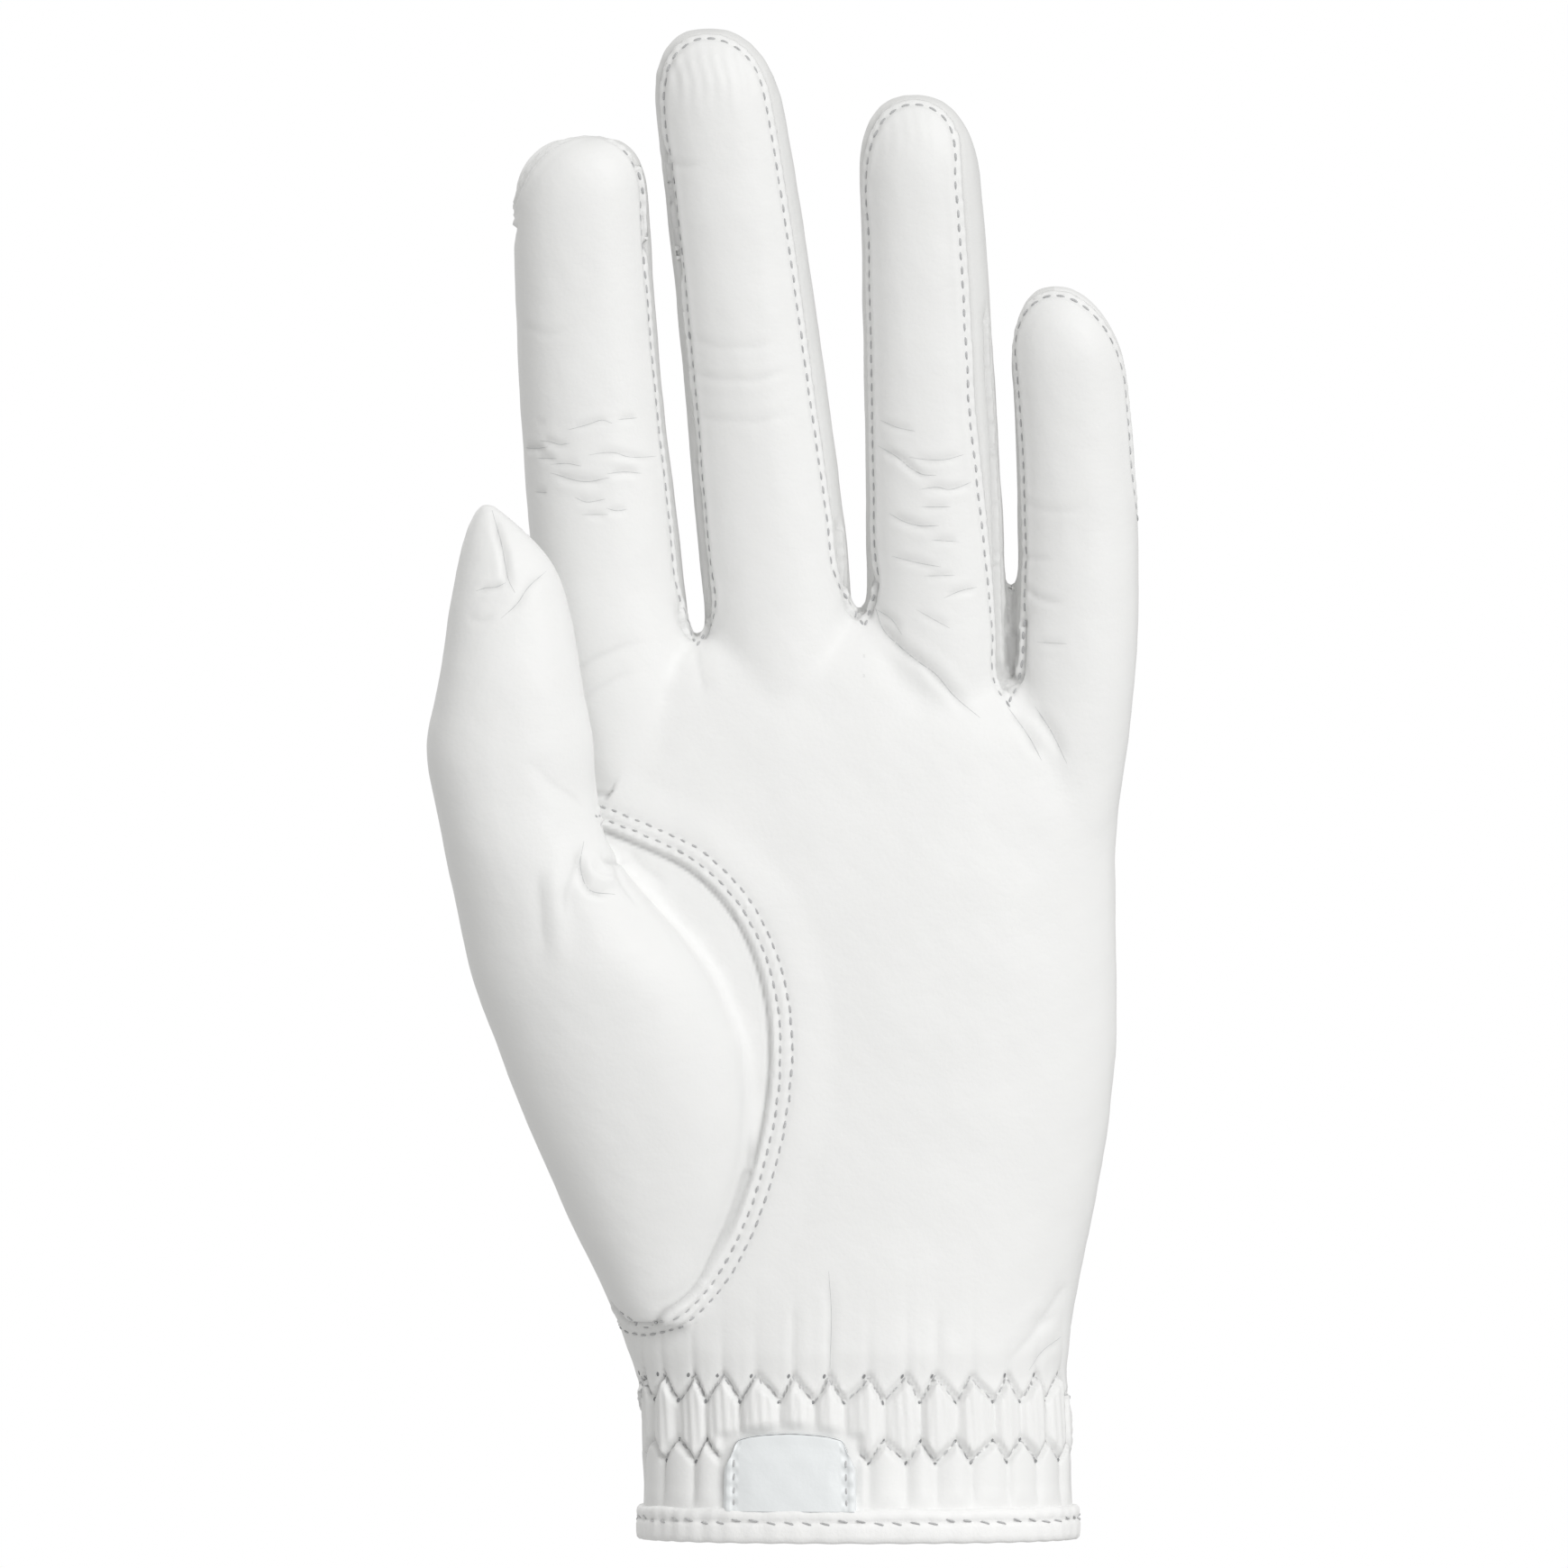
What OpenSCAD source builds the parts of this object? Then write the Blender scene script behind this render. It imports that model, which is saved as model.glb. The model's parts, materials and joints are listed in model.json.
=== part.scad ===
// Golf glove for the left hand, in the shape that it has when worn.
// The fingers point up (+Z), the palm faces -Y and the thumb is on the -X side.
// The origin is the centre of the cuff's rim.

/* [Leather] */
// Thickness of the leather panels
leather_t = 0.6; // [0.4:0.1:0.9]
// Gap between two panels that are sewn together
seam_gap = 0.3; // [0.2:0.1:0.5]
// Gap between two bodies where a finger bends
joint_gap = 0.5; // [0.4:0.1:0.8]

/* [Hand] */
// Heights of the hand's sections: cuff, wrist band, wrist, heel, palm, thumb web, finger webs
hand_z = [0, 14, 28, 54, 80, 105, 136]; // [0:0.5:140]
// Little finger side of each section
hand_right = [33.6, 33.5, 32.8, 37.3, 40.3, 40.2, 43]; // [28:0.1:50]
// Thumb side of each section, behind the thumb
hand_left = [-33.5, -33.6, -34.5, -42, -46.5, -48.5, -50.3]; // [-56:0.1:-28]
// Half depth of each section
hand_depth = [20.5, 19, 17.8, 16.8, 16.2, 15, 10.9]; // [9:0.1:24]
// Height of the edge that binds the cuff
binding_h = 5; // [4:0.5:8]
// Height at which the slit in the back ends
slit_top = 66; // [50:1:80]

/* [Thumb mound] */
// Heights of the mound's sections
mound_z = [30, 40, 61, 77, 90, 102, 114]; // [28:1:116]
// How far the mound stands out of the hand at each section
mound_out = [0, 5, 12.5, 18.5, 24, 27, 29.5]; // [0:0.5:32]
// Heights along the curved seam where the palm laps the thumb piece
seam_z = [33, 36, 42, 52, 66, 80, 92, 102, 109, 114]; // [30:1:116]
// Distance across the hand of that seam
seam_x = [-29, -22.5, -18, -13.5, -10, -9, -12.5, -20, -28, -36]; // [-40:0.5:0]

/* [Digits] */
// Centre across the hand at the web, half way and at the tip: index finger
index_x = [-36.8, -41.4, -42.9]; // [-60:0.1:60]
// The same for the middle finger
middle_x = [-11.8, -16.8, -23.2]; // [-60:0.1:60]
// The same for the ring finger
ring_x = [12.2, 11.3, 8.8]; // [-60:0.1:60]
// The same for the little finger
little_x = [33.7, 33.6, 30.8]; // [-60:0.1:60]
// The same for the thumb
thumb_x = [-52.7, -53.5, -57]; // [-70:0.1:-40]
// Heights of the tips: index, middle, ring, little
finger_top = [217.8, 234.8, 224.4, 194.7]; // [170:0.1:250]
// Half widths at the web: index, middle, ring, little
finger_base_w = [11.7, 11.6, 10.9, 9.6]; // [8:0.1:14]
// Half widths near the tip: index, middle, ring, little
finger_tip_w = [10.1, 9.7, 9.3, 8.7]; // [7:0.1:12]
// Heights of the knuckle joints: index, middle, ring, little
knuckle_z = [155, 154, 154, 148]; // [144:0.5:158]
// Heights of the middle joints: index, middle, ring, little
mid_z = [172, 178, 172, 166]; // [162:0.5:182]
// Height of the thumb's tip
thumb_top = 161.3; // [150:0.1:170]
// Half width of the thumb at its root and near its tip
thumb_w = [12.7, 9.5]; // [8:0.1:14]
// Heights of the thumb's root joint and its bending joint
thumb_joints = [114.4, 133]; // [112:0.1:140]

/* [Closure] */
// Lowest and highest edge of the closure tab
tab_z = [13, 37]; // [8:0.5:50]
// Places round the back of the tab's sewn root and its free end, in degrees
tab_span = [110, 50]; // [40:1:120]

/* [Hidden] */

leather = [0.93, 0.94, 0.94];
fourchette_leather = [0.86, 0.88, 0.88];
trim = [0.96, 0.96, 0.97];
stretch = [0.80, 0.80, 0.82];
arc_step = 15;          // degrees between the points round a panel
web_z = 140;            // height of the finger webs
palm_top = 135;         // the palm and back panels' hand part ends here
base_z = 134;           // the finger parts of those panels start here
round_power = 2.2;      // roundness of a section: 2 is an ellipse
dome_h = 14;            // height of a fingertip's dome
thumb_dome_h = 40;
finger_depth = 0.93;    // depth over width of a finger
finger_curl = 4;        // how far a fingertip leans towards the palm
mound_t = 208;          // the mound's place round the hand, in degrees
mound_half = 48;        // half of its angle
mound_dir = [-0.72, -0.69];
thumb_y = -18;
// Lowest and highest row of the thumb piece on the hand
gusset_z = [33.6, 114];
above_gusset = 0.2;
finger_x = [index_x, middle_x, ring_x, little_x];

// A smooth curve through the values vs at the places zs.
function slope(zs, vs, i) =
    let (a = max(i - 1, 0), b = min(i + 1, len(zs) - 1)) (vs[b] - vs[a]) / (zs[b] - zs[a]);
function span_of(zs, z, i = 0) = (i >= len(zs) - 2 || z < zs[i + 1]) ? i : span_of(zs, z, i + 1);
function smooth(zs, vs, z) =
    let (q = min(max(z, zs[0]), zs[len(zs) - 1]), i = span_of(zs, q), h = zs[i + 1] - zs[i],
        u = (q - zs[i]) / h)
    vs[i] * (1 + 2 * u) * (1 - u) ^ 2 + slope(zs, vs, i) * h * u * (1 - u) ^ 2
        + vs[i + 1] * u * u * (3 - 2 * u) - slope(zs, vs, i + 1) * h * u * u * (1 - u);
// The parabola through three values at 0, a half and 1.
function through3(v, u) =
    v[0] * (2 * u - 1) * (u - 1) + 4 * v[1] * u * (1 - u) + v[2] * u * (2 * u - 1);
function signed_power(v, p) = sign(v) * abs(v) ^ p;
function arc(a, b, step = arc_step) =
    let (n = ceil(abs(b - a) / step)) [for (i = [0 : n]) a + (b - a) * i / n];
function steps(a, b, n) = [for (i = [0 : n]) a + (b - a) * i / n];

// Outlines: the point [x, y] at height z and angle t, with 0 at +X and 270 at the palm.
function outline(cx, cy, w, d, t) =
    [cx + w * signed_power(cos(t), 2 / round_power), cy + d * signed_power(sin(t), 2 / round_power)];
function hand_cx(z) = (smooth(hand_z, hand_right, z) + smooth(hand_z, hand_left, z)) / 2;
function hand_w(z) = (smooth(hand_z, hand_right, z) - smooth(hand_z, hand_left, z)) / 2;
function mound(z, t) = (z > gusset_z[1] + above_gusset || abs(t - mound_t) > mound_half) ? 0
    : smooth(mound_z, mound_out, z) * cos(90 * (t - mound_t) / mound_half) ^ 2;
hand = function (z, t)
    outline(hand_cx(z), 0, hand_w(z), smooth(hand_z, hand_depth, z), t) + mound(z, t) * mound_dir;
function dome(z, top, h) =
    let (s = min(max((z - top + h) / h, 0), 1)) (1 - s ^ round_power) ^ (1 / round_power);
function digit(xs, foot, top, w, h, y, curl, depth) = function (z, t)
    let (u = (z - foot) / (top - foot), r = (w[0] + (w[1] - w[0]) * u) * dome(z, top, h))
    outline(through3(xs, u), y - curl * u * u, r, depth * r, t);
fingers = [for (i = [0 : 3]) digit(finger_x[i], web_z, finger_top[i],
    [finger_base_w[i], finger_tip_w[i]], dome_h, 0, finger_curl, finger_depth)];
thumb = digit(thumb_x, gusset_z[1], thumb_top, thumb_w, thumb_dome_h, thumb_y, 1, finger_depth);

// The surface point pushed out along the surface's normal by off.
function point(f, z, t, off, level) =
    let (p = f(z, t), side = f(z, t + 0.5) - f(z, t - 0.5), up = p - f(z - 0.05, t),
        n = level ? [side[1], -side[0], 0] : cross([side[0], side[1], 0], [up[0], up[1], 0.05]),
        m = n / norm(n))
    [p[0] + off * m[0], p[1] + off * m[1], z + off * m[2]];

// A curved sheet: rows at the heights zs, each with the angles ts(z), between two offsets.
module sheet(f, zs, ts, outer, inner, tip = false) {
    n = len(ts(zs[0]));
    rows = len(zs);
    points = [for (off = [outer, inner], i = [0 : rows - 1], t = ts(zs[i]))
        point(f, zs[i], t, off, i == 0 || (i == rows - 1 && !tip))];
    at = function (side, i, j) (side * rows + i) * n + j;
    quad = function (a, b, c, d) [[a, c, b], [a, d, c]];
    faces = concat(
        [for (i = [0 : rows - 2], j = [0 : n - 2], k = [0, 1])
            quad(at(0, i, j), at(0, i, j + 1), at(0, i + 1, j + 1), at(0, i + 1, j))[k]],
        [for (i = [0 : rows - 2], j = [0 : n - 2], k = [0, 1])
            quad(at(1, i, j + 1), at(1, i, j), at(1, i + 1, j), at(1, i + 1, j + 1))[k]],
        [for (i = [0 : rows - 2], k = [0, 1])
            quad(at(1, i, 0), at(0, i, 0), at(0, i + 1, 0), at(1, i + 1, 0))[k]],
        [for (i = [0 : rows - 2], k = [0, 1])
            quad(at(0, i, n - 1), at(1, i, n - 1), at(1, i + 1, n - 1), at(0, i + 1, n - 1))[k]],
        [for (j = [0 : n - 2], k = [0, 1])
            quad(at(1, 0, j), at(1, 0, j + 1), at(0, 0, j + 1), at(0, 0, j))[k]],
        [for (j = [0 : n - 2], k = [0, 1])
            quad(at(0, rows - 1, j), at(0, rows - 1, j + 1),
                at(1, rows - 1, j + 1), at(1, rows - 1, j))[k]]);
    polyhedron(points, faces);
}

// Angles of the hand's seams.
function front_angle(z, x) = 360 - acos((x - hand_cx(z)) / hand_w(z));
function seam_angle(z) = front_angle(z, smooth(seam_z, seam_x, z));
thumb_edge = 181;       // where the palm meets the back on the index side
little_edge = 359.4;      // where the palm meets the back on the little finger side
gusset_edge = 188;      // where the thumb piece meets the back
gap_angle = 2 * seam_gap;        // half a seam gap on the hand, in degrees
digit_gap_angle = 3.3 * seam_gap; // half a seam gap on a finger, in degrees
slit_angles = [88, 92];
wrist_rows = [binding_h, 12, 19, 26];
knuckle_rows = [120, 127, palm_top];

// The digit panels' share of a finger at height z, with half a seam gap off each end.
function panel_angles(a, b) = arc(a + digit_gap_angle, b - digit_gap_angle);
function lower_rows(i) = steps(knuckle_z[i] + joint_gap / 2, mid_z[i] - joint_gap / 2, 2);
function dome_rows(top, h) = [for (s = [0 : 15 : 75]) top - h + h * sin(s)];
function upper_rows(i) = concat(
    steps(mid_z[i] + joint_gap / 2, finger_top[i] - dome_h - 8, 2),
    dome_rows(finger_top[i], dome_h), [finger_top[i] - 0.01]);

module digit_panel(f, rows, a, b, tip = false) {
    angles = panel_angles(a, b);
    sheet(f, rows, function (z) angles, 0, -leather_t, tip);
}
module lower_panel(i, a, b) { digit_panel(fingers[i], lower_rows(i), a, b); }
module upper_panel(i, a, b) { digit_panel(fingers[i], upper_rows(i), a, b, true); }
module base_panel(i, a, b) {
    digit_panel(fingers[i], [base_z, web_z + 2, knuckle_z[i] - joint_gap / 2], a, b);
}

// Where each finger's front and back panels start and end: index, middle, ring, little.
front_arc = [[180, 315], [225, 315], [225, 315], [225, 360]];
back_arc = [[45, 180], [45, 135], [45, 135], [0, 135]];
right_arc = [-45, 45];
left_arc = [135, 225];

module palm_panel() color(leather) {
    rows = concat(wrist_rows, [gusset_z[0] - 1.6, gusset_z[0] - 0.4], [for (z = [37 : 8 : 101]) z],
        [107, 112, gusset_z[1] + 3 * above_gusset], knuckle_rows);
    sheet(hand, rows, function (z)
        steps((z < gusset_z[0] - 1 || z > gusset_z[1]) ? thumb_edge : seam_angle(z) + gap_angle,
            little_edge, 18),
        0, -leather_t);
    for (i = [0 : 3]) base_panel(i, front_arc[i][0], front_arc[i][1]);
}

module back_panel() color(leather) {
    right = steps(0.6, slit_angles[0], 6);
    left = function (z) steps(slit_angles[1],
        (z < gusset_z[0] || z > gusset_z[1] + above_gusset) ? thumb_edge - 1.2 : gusset_edge - 1, 6);
    low = concat(wrist_rows, [33, 34, 42, 50, 58, slit_top]);
    high = concat([slit_top, 74, 82, 90, 98, 106], gusset_z[1], gusset_z[1] + 4 * above_gusset,
        knuckle_rows);
    sheet(hand, low, function (z) right, 0, -leather_t);
    sheet(hand, low, left, 0, -leather_t);
    sheet(hand, high, function (z) concat(right, left(z)), 0, -leather_t);
    for (i = [0 : 3]) base_panel(i, back_arc[i][0], back_arc[i][1]);
}

module thumb_gusset() color(leather) {
    rows = concat([gusset_z[0]], [for (z = [38 : 8 : 102]) z], [108, gusset_z[1]]);
    sheet(hand, rows, function (z) steps(gusset_edge, seam_angle(z) - gap_angle, 8),
        0, -leather_t);
}

module cuff_binding() color(trim) {
    angles = arc(slit_angles[1], 360 + slit_angles[0], 8);
    ring = function (off) [for (t = angles) let (p = point(hand, 2, t, off, true)) [p[0], p[1]]];
    back = ring(-leather_t - 0.5);
    linear_extrude(height = binding_h)
        polygon(concat(ring(0.5), [for (i = [len(back) - 1 : -1 : 0]) back[i]]));
}

module wrist_patch() color(trim) {
    middle = -10.5;
    half = function (z) z < 13 ? 10.3 : 10.3 * sqrt(1 - ((z - 13) / 5.2) ^ 2);
    sheet(hand, [binding_h + 0.1, 9, 13, 15, 16.5, 17.6], function (z)
        [for (s = [-1 : 0.25 : 1]) front_angle(z, middle + s * half(z))], 0.75, 0.05);
}

module elastic(z) color(stretch)
    sheet(hand, [z, z + 5], function (z) arc(190, 350, 10), -leather_t - 0.05, -leather_t - 0.85);
module wrist_elastic_upper() { elastic(21.5); }
module wrist_elastic_lower() { elastic(12); }

module slit_facing() color(leather) {
    right = [82, 85, slit_angles[0]];
    left = [slit_angles[1], 95, 98];
    low = [binding_h + 0.2, 24, 44, slit_top];
    outer = -leather_t - 0.3;
    sheet(hand, low, function (z) right, outer, outer - 0.5);
    sheet(hand, low, function (z) left, outer, outer - 0.5);
    sheet(hand, [slit_top, slit_top + 5], function (z) concat(right, left), outer, outer - 0.5);
}

// The sides of two neighbouring fingers' bases, joined by the bar at the bottom of the crotch.
module crotch(i) color(fourchette_leather) {
    near = fingers[i](base_z + 2, 0)[0];
    far = fingers[i + 1](base_z + 2, 180)[0];
    base_panel(i, right_arc[0], right_arc[1]);
    base_panel(i + 1, left_arc[0], left_arc[1]);
    translate([(near + far) / 2, 0, base_z + 2]) rotate([90, 0, 0])
        cylinder(h = 12, r = (far - near) / 2 + 0.5, center = true, $fn = 24);
}
module index_middle_crotch() { crotch(0); }
module middle_ring_crotch() { crotch(1); }
module ring_little_crotch() { crotch(2); }

// The closure: a pad on the back, and the tab that closes over it with its own pad inside.
module closure_layer(z0, z1, a, b, outer, inner, tip_round) {
    middle = (z0 + z1) / 2;
    half = (z1 - z0) / 2;
    end = function (z) b + tip_round * (1 - sqrt(max(0, 1 - ((z - middle) / half) ^ 2)));
    sheet(hand, steps(z0, z1, 8), function (z) steps(end(z), a, 7), outer, inner);
}
module loop_pad() color(stretch) closure_layer(tab_z[0] + 2, tab_z[1] - 2, 85, 53, 0.9, 0.05, 0);
module hook_pad() color(stretch) closure_layer(tab_z[0] + 3, tab_z[1] - 3, 84, 56, 1.9, 1.2, 0);
module tab_lining() color(leather)
    closure_layer(tab_z[0] + 0.8, tab_z[1] - 0.8, tab_span[0], tab_span[1] + 1.5, 2.4, 1.95, 6);
module closure_tab() color(trim)
    closure_layer(tab_z[0], tab_z[1], tab_span[0], tab_span[1], 3.1, 2.45, 6);

module index_lower_front() color(leather) lower_panel(0, front_arc[0][0], front_arc[0][1]);
module index_lower_back() color(leather) lower_panel(0, back_arc[0][0], back_arc[0][1]);
module index_lower_fourchette() color(fourchette_leather)
    lower_panel(0, right_arc[0], right_arc[1]);
module index_upper_front() color(leather) upper_panel(0, front_arc[0][0], front_arc[0][1]);
module index_upper_back() color(leather) upper_panel(0, back_arc[0][0], back_arc[0][1]);
module index_upper_fourchette() color(fourchette_leather)
    upper_panel(0, right_arc[0], right_arc[1]);

module middle_lower_front() color(leather) lower_panel(1, front_arc[1][0], front_arc[1][1]);
module middle_lower_back() color(leather) lower_panel(1, back_arc[1][0], back_arc[1][1]);
module middle_lower_fourchette_index_side() color(fourchette_leather)
    lower_panel(1, left_arc[0], left_arc[1]);
module middle_lower_fourchette_ring_side() color(fourchette_leather)
    lower_panel(1, right_arc[0], right_arc[1]);
module middle_upper_front() color(leather) upper_panel(1, front_arc[1][0], front_arc[1][1]);
module middle_upper_back() color(leather) upper_panel(1, back_arc[1][0], back_arc[1][1]);
module middle_upper_fourchette_index_side() color(fourchette_leather)
    upper_panel(1, left_arc[0], left_arc[1]);
module middle_upper_fourchette_ring_side() color(fourchette_leather)
    upper_panel(1, right_arc[0], right_arc[1]);

module ring_lower_front() color(leather) lower_panel(2, front_arc[2][0], front_arc[2][1]);
module ring_lower_back() color(leather) lower_panel(2, back_arc[2][0], back_arc[2][1]);
module ring_lower_fourchette_middle_side() color(fourchette_leather)
    lower_panel(2, left_arc[0], left_arc[1]);
module ring_lower_fourchette_little_side() color(fourchette_leather)
    lower_panel(2, right_arc[0], right_arc[1]);
module ring_upper_front() color(leather) upper_panel(2, front_arc[2][0], front_arc[2][1]);
module ring_upper_back() color(leather) upper_panel(2, back_arc[2][0], back_arc[2][1]);
module ring_upper_fourchette_middle_side() color(fourchette_leather)
    upper_panel(2, left_arc[0], left_arc[1]);
module ring_upper_fourchette_little_side() color(fourchette_leather)
    upper_panel(2, right_arc[0], right_arc[1]);

module little_lower_front() color(leather) lower_panel(3, front_arc[3][0], front_arc[3][1]);
module little_lower_back() color(leather) lower_panel(3, back_arc[3][0], back_arc[3][1]);
module little_lower_fourchette() color(fourchette_leather)
    lower_panel(3, left_arc[0], left_arc[1]);
module little_upper_front() color(leather) upper_panel(3, front_arc[3][0], front_arc[3][1]);
module little_upper_back() color(leather) upper_panel(3, back_arc[3][0], back_arc[3][1]);
module little_upper_fourchette() color(fourchette_leather)
    upper_panel(3, left_arc[0], left_arc[1]);

thumb_low_rows = steps(thumb_joints[0] + joint_gap / 2, thumb_joints[1] - joint_gap / 2, 3);
thumb_high_rows = concat([thumb_joints[1] + joint_gap / 2],
    [for (z = dome_rows(thumb_top, thumb_dome_h)) if (z > thumb_joints[1] + 2) z],
    [thumb_top - 0.3, thumb_top - 0.01]);
module thumb_lower_front() color(leather) digit_panel(thumb, thumb_low_rows, 180, 360);
module thumb_lower_back() color(leather) digit_panel(thumb, thumb_low_rows, 0, 180);
module thumb_upper_front() color(leather) digit_panel(thumb, thumb_high_rows, 180, 360, true);
module thumb_upper_back() color(leather) digit_panel(thumb, thumb_high_rows, 0, 180, true);

palm_panel();
back_panel();
thumb_gusset();
cuff_binding();
wrist_patch();
wrist_elastic_upper();
wrist_elastic_lower();
slit_facing();
loop_pad();
index_middle_crotch();
middle_ring_crotch();
ring_little_crotch();
closure_tab();
tab_lining();
hook_pad();
index_lower_front();
index_lower_back();
index_lower_fourchette();
index_upper_front();
index_upper_back();
index_upper_fourchette();
middle_lower_front();
middle_lower_back();
middle_lower_fourchette_index_side();
middle_lower_fourchette_ring_side();
middle_upper_front();
middle_upper_back();
middle_upper_fourchette_index_side();
middle_upper_fourchette_ring_side();
ring_lower_front();
ring_lower_back();
ring_lower_fourchette_middle_side();
ring_lower_fourchette_little_side();
ring_upper_front();
ring_upper_back();
ring_upper_fourchette_middle_side();
ring_upper_fourchette_little_side();
little_lower_front();
little_lower_back();
little_lower_fourchette();
little_upper_front();
little_upper_back();
little_upper_fourchette();
thumb_lower_front();
thumb_lower_back();
thumb_upper_front();
thumb_upper_back();
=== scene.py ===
"""A left-hand leather golf glove, filled as if worn, standing on its cuff with the palm in front.

Lengths are in millimetres in the shape functions, and become metres when a piece is made.
X runs from the thumb to the little finger, Z up to the fingertips, and the palm faces -Y.
"""

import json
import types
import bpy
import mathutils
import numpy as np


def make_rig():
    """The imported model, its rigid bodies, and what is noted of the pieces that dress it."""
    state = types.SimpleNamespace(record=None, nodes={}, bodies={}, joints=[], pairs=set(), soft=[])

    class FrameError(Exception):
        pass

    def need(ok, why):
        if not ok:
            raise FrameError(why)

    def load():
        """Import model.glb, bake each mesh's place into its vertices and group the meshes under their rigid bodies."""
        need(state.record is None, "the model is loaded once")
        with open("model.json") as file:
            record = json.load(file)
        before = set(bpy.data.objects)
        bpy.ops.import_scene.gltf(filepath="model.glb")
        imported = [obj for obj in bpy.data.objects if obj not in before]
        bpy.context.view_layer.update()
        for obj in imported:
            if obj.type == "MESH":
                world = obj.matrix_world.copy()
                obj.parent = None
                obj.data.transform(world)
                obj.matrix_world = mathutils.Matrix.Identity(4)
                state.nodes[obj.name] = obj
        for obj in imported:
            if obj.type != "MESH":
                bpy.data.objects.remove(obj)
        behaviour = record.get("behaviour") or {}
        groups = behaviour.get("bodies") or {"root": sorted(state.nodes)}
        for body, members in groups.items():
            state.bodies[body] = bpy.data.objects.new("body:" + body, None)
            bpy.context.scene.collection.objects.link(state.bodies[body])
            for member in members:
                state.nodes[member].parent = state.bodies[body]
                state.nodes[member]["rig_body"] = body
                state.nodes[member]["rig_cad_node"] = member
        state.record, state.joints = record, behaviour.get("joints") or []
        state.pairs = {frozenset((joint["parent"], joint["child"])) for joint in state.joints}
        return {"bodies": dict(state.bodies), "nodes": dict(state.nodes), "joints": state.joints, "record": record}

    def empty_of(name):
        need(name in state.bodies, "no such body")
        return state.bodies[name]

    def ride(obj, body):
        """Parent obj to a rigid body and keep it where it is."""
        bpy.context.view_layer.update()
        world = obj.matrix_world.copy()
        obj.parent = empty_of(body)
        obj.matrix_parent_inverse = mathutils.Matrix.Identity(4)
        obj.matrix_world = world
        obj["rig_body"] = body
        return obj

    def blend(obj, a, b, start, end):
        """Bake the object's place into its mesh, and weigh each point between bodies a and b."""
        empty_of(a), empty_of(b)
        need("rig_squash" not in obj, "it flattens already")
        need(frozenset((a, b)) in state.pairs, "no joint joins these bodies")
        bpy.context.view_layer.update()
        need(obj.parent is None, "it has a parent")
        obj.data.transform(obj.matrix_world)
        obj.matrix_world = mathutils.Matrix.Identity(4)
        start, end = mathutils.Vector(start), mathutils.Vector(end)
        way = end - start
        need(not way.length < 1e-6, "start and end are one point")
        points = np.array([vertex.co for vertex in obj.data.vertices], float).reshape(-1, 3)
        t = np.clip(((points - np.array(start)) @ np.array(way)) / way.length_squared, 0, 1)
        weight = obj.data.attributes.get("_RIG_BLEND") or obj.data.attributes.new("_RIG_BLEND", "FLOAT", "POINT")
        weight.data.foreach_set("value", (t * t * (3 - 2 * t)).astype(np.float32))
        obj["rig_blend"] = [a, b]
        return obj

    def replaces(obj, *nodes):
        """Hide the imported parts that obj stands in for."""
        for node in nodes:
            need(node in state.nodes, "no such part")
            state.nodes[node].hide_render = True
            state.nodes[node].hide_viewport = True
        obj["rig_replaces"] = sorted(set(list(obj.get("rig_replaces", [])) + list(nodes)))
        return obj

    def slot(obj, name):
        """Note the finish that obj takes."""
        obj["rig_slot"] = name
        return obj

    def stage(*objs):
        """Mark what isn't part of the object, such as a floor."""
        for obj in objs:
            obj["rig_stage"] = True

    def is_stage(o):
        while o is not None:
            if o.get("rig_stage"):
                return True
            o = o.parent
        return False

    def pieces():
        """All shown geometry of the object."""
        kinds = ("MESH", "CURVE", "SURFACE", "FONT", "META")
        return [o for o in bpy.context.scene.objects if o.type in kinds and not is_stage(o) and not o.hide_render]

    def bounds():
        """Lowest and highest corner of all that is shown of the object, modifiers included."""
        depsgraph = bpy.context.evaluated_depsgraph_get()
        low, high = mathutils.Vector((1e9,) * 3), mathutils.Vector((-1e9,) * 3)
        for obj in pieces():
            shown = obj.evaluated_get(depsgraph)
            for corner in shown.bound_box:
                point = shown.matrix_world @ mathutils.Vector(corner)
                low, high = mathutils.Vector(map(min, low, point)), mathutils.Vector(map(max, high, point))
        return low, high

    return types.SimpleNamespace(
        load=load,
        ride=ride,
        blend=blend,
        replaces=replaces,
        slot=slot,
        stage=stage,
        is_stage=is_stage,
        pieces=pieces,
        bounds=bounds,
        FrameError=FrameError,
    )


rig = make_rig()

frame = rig.load()
cad_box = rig.bounds()

import json
import math

import bpy
import numpy as np
from mathutils import Vector
from mathutils.bvhtree import BVHTree

MM = 0.001
LEATHER = 0.7            # thickness of the leather
VOXEL = 1.0              # grid of the glove's form, halved by one subdivision
ROUND = 2.2              # power of the sections: 2 is an ellipse
CUFF_EDGE = 4.4          # where the leather ends inside the binding
WEB = 140                # height of the webs between the fingers
FRONT_ANGLES = np.linspace(176, 364, 900)        # round the front of the wrist


def curve(xs, ys):
    """A smooth function through the points."""
    xs, ys = np.asarray(xs, float), np.asarray(ys, float)
    slopes = np.gradient(ys, xs)

    def at(x):
        x = np.clip(x, xs[0], xs[-1])
        i = np.clip(np.searchsorted(xs, x) - 1, 0, len(xs) - 2)
        h = xs[i + 1] - xs[i]
        u = (x - xs[i]) / h
        return (ys[i] * (1 + 2 * u) * (1 - u) ** 2 + slopes[i] * h * u * (1 - u) ** 2
                + ys[i + 1] * u * u * (3 - 2 * u) - slopes[i + 1] * h * u * u * (1 - u))
    return at


def smoothstep(u):
    """From 0 to 1, with no slope at either end."""
    u = np.clip(u, 0, 1)
    return u * u * (3 - 2 * u)


def bell(d, width):
    """1 at no distance, and near nothing at twice the width."""
    return np.exp(-(d / width) ** 2)


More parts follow.
